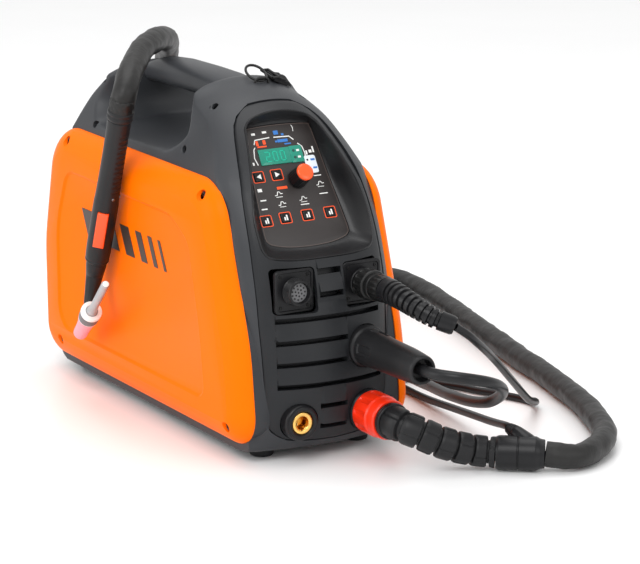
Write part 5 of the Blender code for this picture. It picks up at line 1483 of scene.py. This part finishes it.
def build_rear():
    """Rear plate with its slots, switch, gland and gas inlet."""
    plate = box_mesh((-0.062, 0.211, 0.03), (0.062, 0.2152, 0.198), 0.0012)
    rear = link("rear_plate", plate, FASCIA)
    for k in range(6):
        z = 0.116 + (k - 2.5) * 0.0125
        outline = rounded_square(0.072, 0.0056, 0.0027, 6)
        slot = loft([[Vector((x, y, z + v)) for x, v in outline] for y in (0.2, 0.23)])
        cut(rear, slot)
    cut(rear, box_mesh((-0.0113, 0.2, 0.1692), (0.0113, 0.23, 0.1898)))
    for x, radius in ((0.045, 0.0101), (-0.045, 0.0081)):
        cut(rear, moved(turned([(radius, -0.02), (radius, 0.02)], 40), along((x, 0.213, 0.047), (0, 1, 0))))
    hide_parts("rear_grille")
    spots = [(-0.055, 0.0365), (0.055, 0.0365), (-0.055, 0.1915), (0.055, 0.1915), (-0.044, 0.16),
             (0.044, 0.16), (-0.044, 0.072), (0.044, 0.072)]
    screws = [small_screw(along((x, 0.2151, z), (0, 1, 0)), 0.0028, 0.0014) for x, z in spots]
    merged("rear_screws", screws, STEEL_DARK)
    ring = rounded_square(0.0265, 0.0245, 0.0016, 4)
    inner = rounded_square(0.0224, 0.0204, 0.001, 4)
    steps = [(ring, 0.215), (ring, 0.216), (inner, 0.2164), (inner, 0.212)]
    rings = [[Vector((x, y, 0.1795 + z)) for x, z in line] for line, y in steps]
    link("mains_switch_frame", loft(rings, closed=True), BLACK)
    rocker = [
        (-0.0092, 0.0), (-0.0092, 0.0052), (-0.006, 0.0044), (0.0, 0.0034), (0.006, 0.0025),
        (0.0092, 0.002), (0.0092, -0.003), (-0.0092, -0.006)
    ]
    mesh = loft([[Vector((x, y, z)) for z, y in rocker] for x in (-0.0106, 0.0106)])
    bm = bmesh.new()
    bm.from_mesh(mesh)
    bmesh.ops.bevel(bm, geom=[e for e in bm.edges if abs(e.verts[0].co.x - e.verts[1].co.x) < 1e-6],
                    offset=0.0006, segments=3, profile=0.5, affect="EDGES")
    bm.to_mesh(mesh)
    bm.free()
    mesh.shade_smooth()
    mesh.set_sharp_from_angle(angle=math.radians(40))
    mesh.transform(Matrix.Translation((0.0, 0.215, 0.1795)))
    switch = link("mains_rocker", mesh, BLACK_SATIN, "rocker")
    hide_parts("mains_switch")
    signs = [box_mesh((-0.0003, 0.2198, 0.1722), (0.0003, 0.2203, 0.1752))]
    merged("mains_rocker_sign", signs, PRINT_WHITE, "rocker")

    def nut(sides, low, high, flat):
        def wave(a, z):
            if low < z < high:
                local = (a % (2 * math.pi / sides)) - math.pi / sides
                return flat / math.cos(local) - flat / math.cos(math.pi / sides)
            return 0.0
        return wave

    gland = [
        (0.0001, -0.011), (0.0095, -0.011), (0.0095, 0.0028), (0.0118, 0.003), (0.0125, 0.0034),
        (0.0125, 0.004), (0.0125, 0.0104), (0.012, 0.0112), (0.0106, 0.012), (0.01, 0.0126),
        (0.0099, 0.0135), (0.0094, 0.0139), (0.0099, 0.0146), (0.0095, 0.0155), (0.0097, 0.0164),
        (0.0091, 0.0173), (0.0093, 0.0184), (0.0087, 0.0195), (0.009, 0.0226), (0.0084, 0.0244),
        (0.006, 0.0254), (0.0046, 0.0252), (0.0042, 0.02), (0.0001, 0.0198)
    ]
    piece = link("mains_cable_gland", moved(turned(gland, 72, wave=nut(6, 0.0032, 0.0108, 0.0109)),
                                            along((0.045, 0.213, 0.047), (0, 1, 0))), BLACK)
    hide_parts("mains_gland")
    inlet = [
        (0.0001, -0.008), (0.0075, -0.008), (0.0075, 0.0028), (0.01, 0.0029), (0.0105, 0.0034),
        (0.0105, 0.0086), (0.0098, 0.0094), (0.0064, 0.0098)
    ]
    for k in range(6):
        z = 0.0104 + k * 0.0013
        inlet += [(0.0062, z), (0.0056, z + 0.00045), (0.0062, z + 0.0009)]
    inlet += [(0.006, 0.0184), (0.005, 0.0196), (0.005, 0.0212), (0.0044, 0.0215), (0.0026, 0.0215),
              (0.0024, 0.015), (0.0001, 0.015)]
    piece = link("gas_inlet_fitting", moved(turned(inlet, 72, wave=nut(6, 0.003, 0.009, 0.0091)),
                                            along((-0.045, 0.213, 0.047), (0, 1, 0))), BRASS)
    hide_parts("gas_inlet")
    outline = rounded_square(0.07, 0.02, 0.0012)
    steps = [(outline, 0.215), (grown(outline, -0.0002), 0.2155)]
    label = [[Vector((x, y, 0.047 + z)) for x, z in line] for line, y in steps]
    for ring_points in label:
        for p in ring_points:
            p.x *= 0.72
    link("rear_blank_label", loft(label), SHEET)


def build_clamp():
    """Earth clamp on the stored return lead."""
    base = 4 * 2 * RETURN_RADIUS + 0.0006
    middle = Vector((COIL_CENTRE.x, COIL_CENTRE.y, base + 0.015))
    for name, side in (("earth_clamp_lower", -1), ("earth_clamp_upper", 1)):
        tail = 0.0135 if side < 0 else 0.015
        spine = catmull([(-0.08, tail, 0.0015), (-0.04, tail * 0.93, 0.0018), (-0.004, 0.003, 0.005),
                         (0.03, 0.0065, 0.002), (0.062, 0.0045, 0.002), (0.078, 0.0006, 0.003)], 6)
        rings = []
        for x, z, thick in spine:
            wide = 0.0125 if -0.06 < x < 0.05 else 0.0105
            lip = 0.0012
            rings.append([Vector((x, -wide, side * z)), Vector((x, -wide + lip, side * (z + thick))),
                          Vector((x, wide - lip, side * (z + thick))), Vector((x, wide, side * z))])
        body = ROOT if side < 0 else "clamp_jaw"
        arm = link(f"{name}_arm", moved(loft(rings, angle=35), Matrix.Translation(middle)), STEEL, body)
        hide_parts(name)
        section = [(-1, -0.4), (-1, 0.5), (-0.8, 0.9), (0.8, 0.9), (1, 0.5), (1, -0.4)]
        rings = [[Vector((x, w * 0.0124, side * (z + 0.0007 + h * 0.0016))) for w, h in section]
                 for x, z, _ in spine if x < -0.03]
        link(f"{name}_sleeve", moved(loft(rings, angle=35), Matrix.Translation(middle)), RED, body)
    pin = [(0.0001, -0.015), (0.0026, -0.015), (0.003, -0.0144), (0.003, -0.013), (0.0019, -0.0128),
           (0.0019, 0.0128), (0.003, 0.013), (0.003, 0.0144), (0.0026, 0.015), (0.0001, 0.015)]
    place = along((0.263, COIL_CENTRE.y, middle.z), (0, 1, 0))
    link("earth_clamp_pin", moved(turned(pin, 32), place), STEEL_DARK)


def build_strap():
    """Strap ring with its staple, and the strap's webbing, keeper and buckle."""
    pivot = Vector((0.01, -0.072, 0.336))
    tilt = Matrix.Rotation(math.radians(-62), 4, "X")
    lift = Matrix.Translation((0.0, 0.0, 0.0125))
    loops = []
    for k in range(56):
        a = 2 * math.pi * k / 56
        centre = Vector((0.0095 * math.cos(a), 0.0, 0.0125 * math.sin(a)))
        out = Vector((math.cos(a), 0.0, math.sin(a)))
        loops.append([centre + (out * math.cos(b) + Vector((0, 1, 0)) * math.sin(b)) * 0.0013
                      for b in (2 * math.pi * j / 14 for j in range(14))])
    ring = link("strap_ring", moved(loft(loops, closed=True), Matrix.Translation(pivot) @ tilt @ lift),
                GUNMETAL, "eye")
    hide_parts("strap_eye")
    staple = even([Vector((0.0025, -0.072, 0.332)), Vector((0.003, -0.072, 0.3366)),
                   Vector((0.006, -0.072, 0.3386)), Vector((0.014, -0.072, 0.3386)),
                   Vector((0.017, -0.072, 0.3366)), Vector((0.0175, -0.072, 0.332))], 0.001)
    link("strap_staple", tube(staple, lambda s, a: 0.0013, 14), GUNMETAL)
    shell = bpy.data.objects["housing_shell"]

    def top_of(x, y):
        hit, place, _, _ = shell.ray_cast(Vector((x, y, 0.6)), Vector((0, 0, -1)))
        return place.z if hit else 0.3

    rows = []
    count = 26
    for k in range(count + 1):
        t = k / count
        x = 0.0262 + 0.021 * t
        y0 = -0.059 + 0.005 * t
        lift = 0.0042 + 0.001 * max(0.0, 1 - t / 0.28) ** 1.5 + 0.0005 * math.sin(9 * t)
        line = []
        for j in range(9):
            y = y0 + (j / 8 - 0.5) * 0.019
            line.append(Vector((x, y, top_of(x, y) + lift)))
        rows.append(line)
    rings = []
    for line in rows:
        under = [p - Vector((0, 0, 0.0034)) for p in reversed(line)]
        top = [p + Vector((0, 0, 0.0006 * (1 - abs(k / 4 - 1) ** 4))) for k, p in enumerate(line)]
        rings.append(top + under)
    link("strap_webbing", loft(rings, angle=50), WEBBING)
    rings = []
    for line in rows[7:19]:
        under = [p + Vector((0, 0, 0.0005)) for p in reversed(line)]
        top = [p + Vector((0, 0, 0.002)) for p in line]
        rings.append(top + under)
    link("strap_keeper", loft(rings, angle=50), WEBBING)
    bars = []
    first = rows[0]
    for offset in (0.0, 0.0075):
        a = first[0] + Vector((offset - 0.003, -0.0015, 0.0004))
        b = first[-1] + Vector((offset - 0.003, 0.0015, 0.0004))
        bars.append(tube(even([a, b], 0.002), lambda s, q: 0.0013, 14))
    for k in (0, -1):
        a = first[k] + Vector((-0.003, -0.0015 if k == 0 else 0.0015, 0.0004))
        bars.append(tube(even([a, a + Vector((0.0075, 0, 0))], 0.002), lambda s, q: 0.0013, 14))
    merged("strap_buckle", bars, GUNMETAL)


# ------------------------------------------------------------------ carried-over solids, floor and light
def finish_nodes():
    """Procedural materials for the solids that stay as they are."""
    looks = {"cooling_fan": BLACK, "fan_shroud": FASCIA, "heat_sink": ALU, "power_board": BOARD,
             "control_board": BOARD, "transformer": STEEL_DARK, "output_choke": COPPER, "gas_valve": BRASS}
    for name, mat in looks.items():
        for slot in frame["nodes"][name].material_slots:
            slot.material = mat


SKY_STRENGTH = 0.88
FLOOR_HALF, FLOOR_Z = 14.0, -0.0002
# Name, place, target, size and power of each soft lamp.
LAMPS = [
    ("key", (-1.6, -1.7, 2.3), (0.0, -0.05, 0.15), (1.6, 1.6), 40),
    ("front", (0.9, -2.6, 1.3), (0.02, -0.1, 0.15), (1.4, 1.0), 9),
    ("top", (0.2, 0.3, 2.6), (0.0, 0.0, 0.1), (1.8, 1.8), 24),
    ("side", (-2.4, 0.4, 0.9), (-0.1, 0.0, 0.15), (1.2, 1.2), 14)
]


def light(name, place, target, size, power):
    """Soft area lamp aimed at a point."""
    data = bpy.data.lights.new(name, "AREA")
    data.shape = "RECTANGLE"
    data.size, data.size_y = size
    data.energy = power
    obj = bpy.data.objects.new(name, data)
    bpy.context.scene.collection.objects.link(obj)
    way = Vector(target) - Vector(place)
    obj.matrix_world = Matrix.Translation(place) @ way.to_track_quat("-Z", "Y").to_matrix().to_4x4()


def build_studio():
    """Pale floor, white surroundings and the lamps."""
    bpy.context.scene.view_settings.view_transform = "Standard"
    world = bpy.data.worlds.new("studio")
    world.use_nodes = True
    world.node_tree.nodes["Background"].inputs["Color"].default_value = (1.0, 1.0, 1.0, 1.0)
    world.node_tree.nodes["Background"].inputs["Strength"].default_value = SKY_STRENGTH
    bpy.context.scene.world = world
    floor = bpy.data.meshes.new("studio_floor")
    corners = [(x * FLOOR_HALF, y * FLOOR_HALF, FLOOR_Z) for x, y in ((-1, -1), (1, -1), (1, 1), (-1, 1))]
    floor.from_pydata(corners, [], [(0, 1, 2, 3)])
    obj = bpy.data.objects.new("studio_floor", floor)
    bpy.context.scene.collection.objects.link(obj)
    floor.materials.append(surface("floor_white", (0.92, 0.92, 0.92), 0.35, tint=0.01, blotch=3.0))
    for lamp in LAMPS:
        light(*lamp)


# ------------------------------------------------------------------ build
build_shell()
build_fascia()
build_keys()
build_display()
build_prints()
build_knob()
control_pieces = build_control_sockets()
build_brass_socket()
lead_collector = build_torch_connector()
build_return_boot()
for panel_side in (-1, 1):
    build_side_panel(panel_side)
build_torch()
build_base()
build_rear()
build_clamp()
build_strap()
finish_nodes()
build_studio()
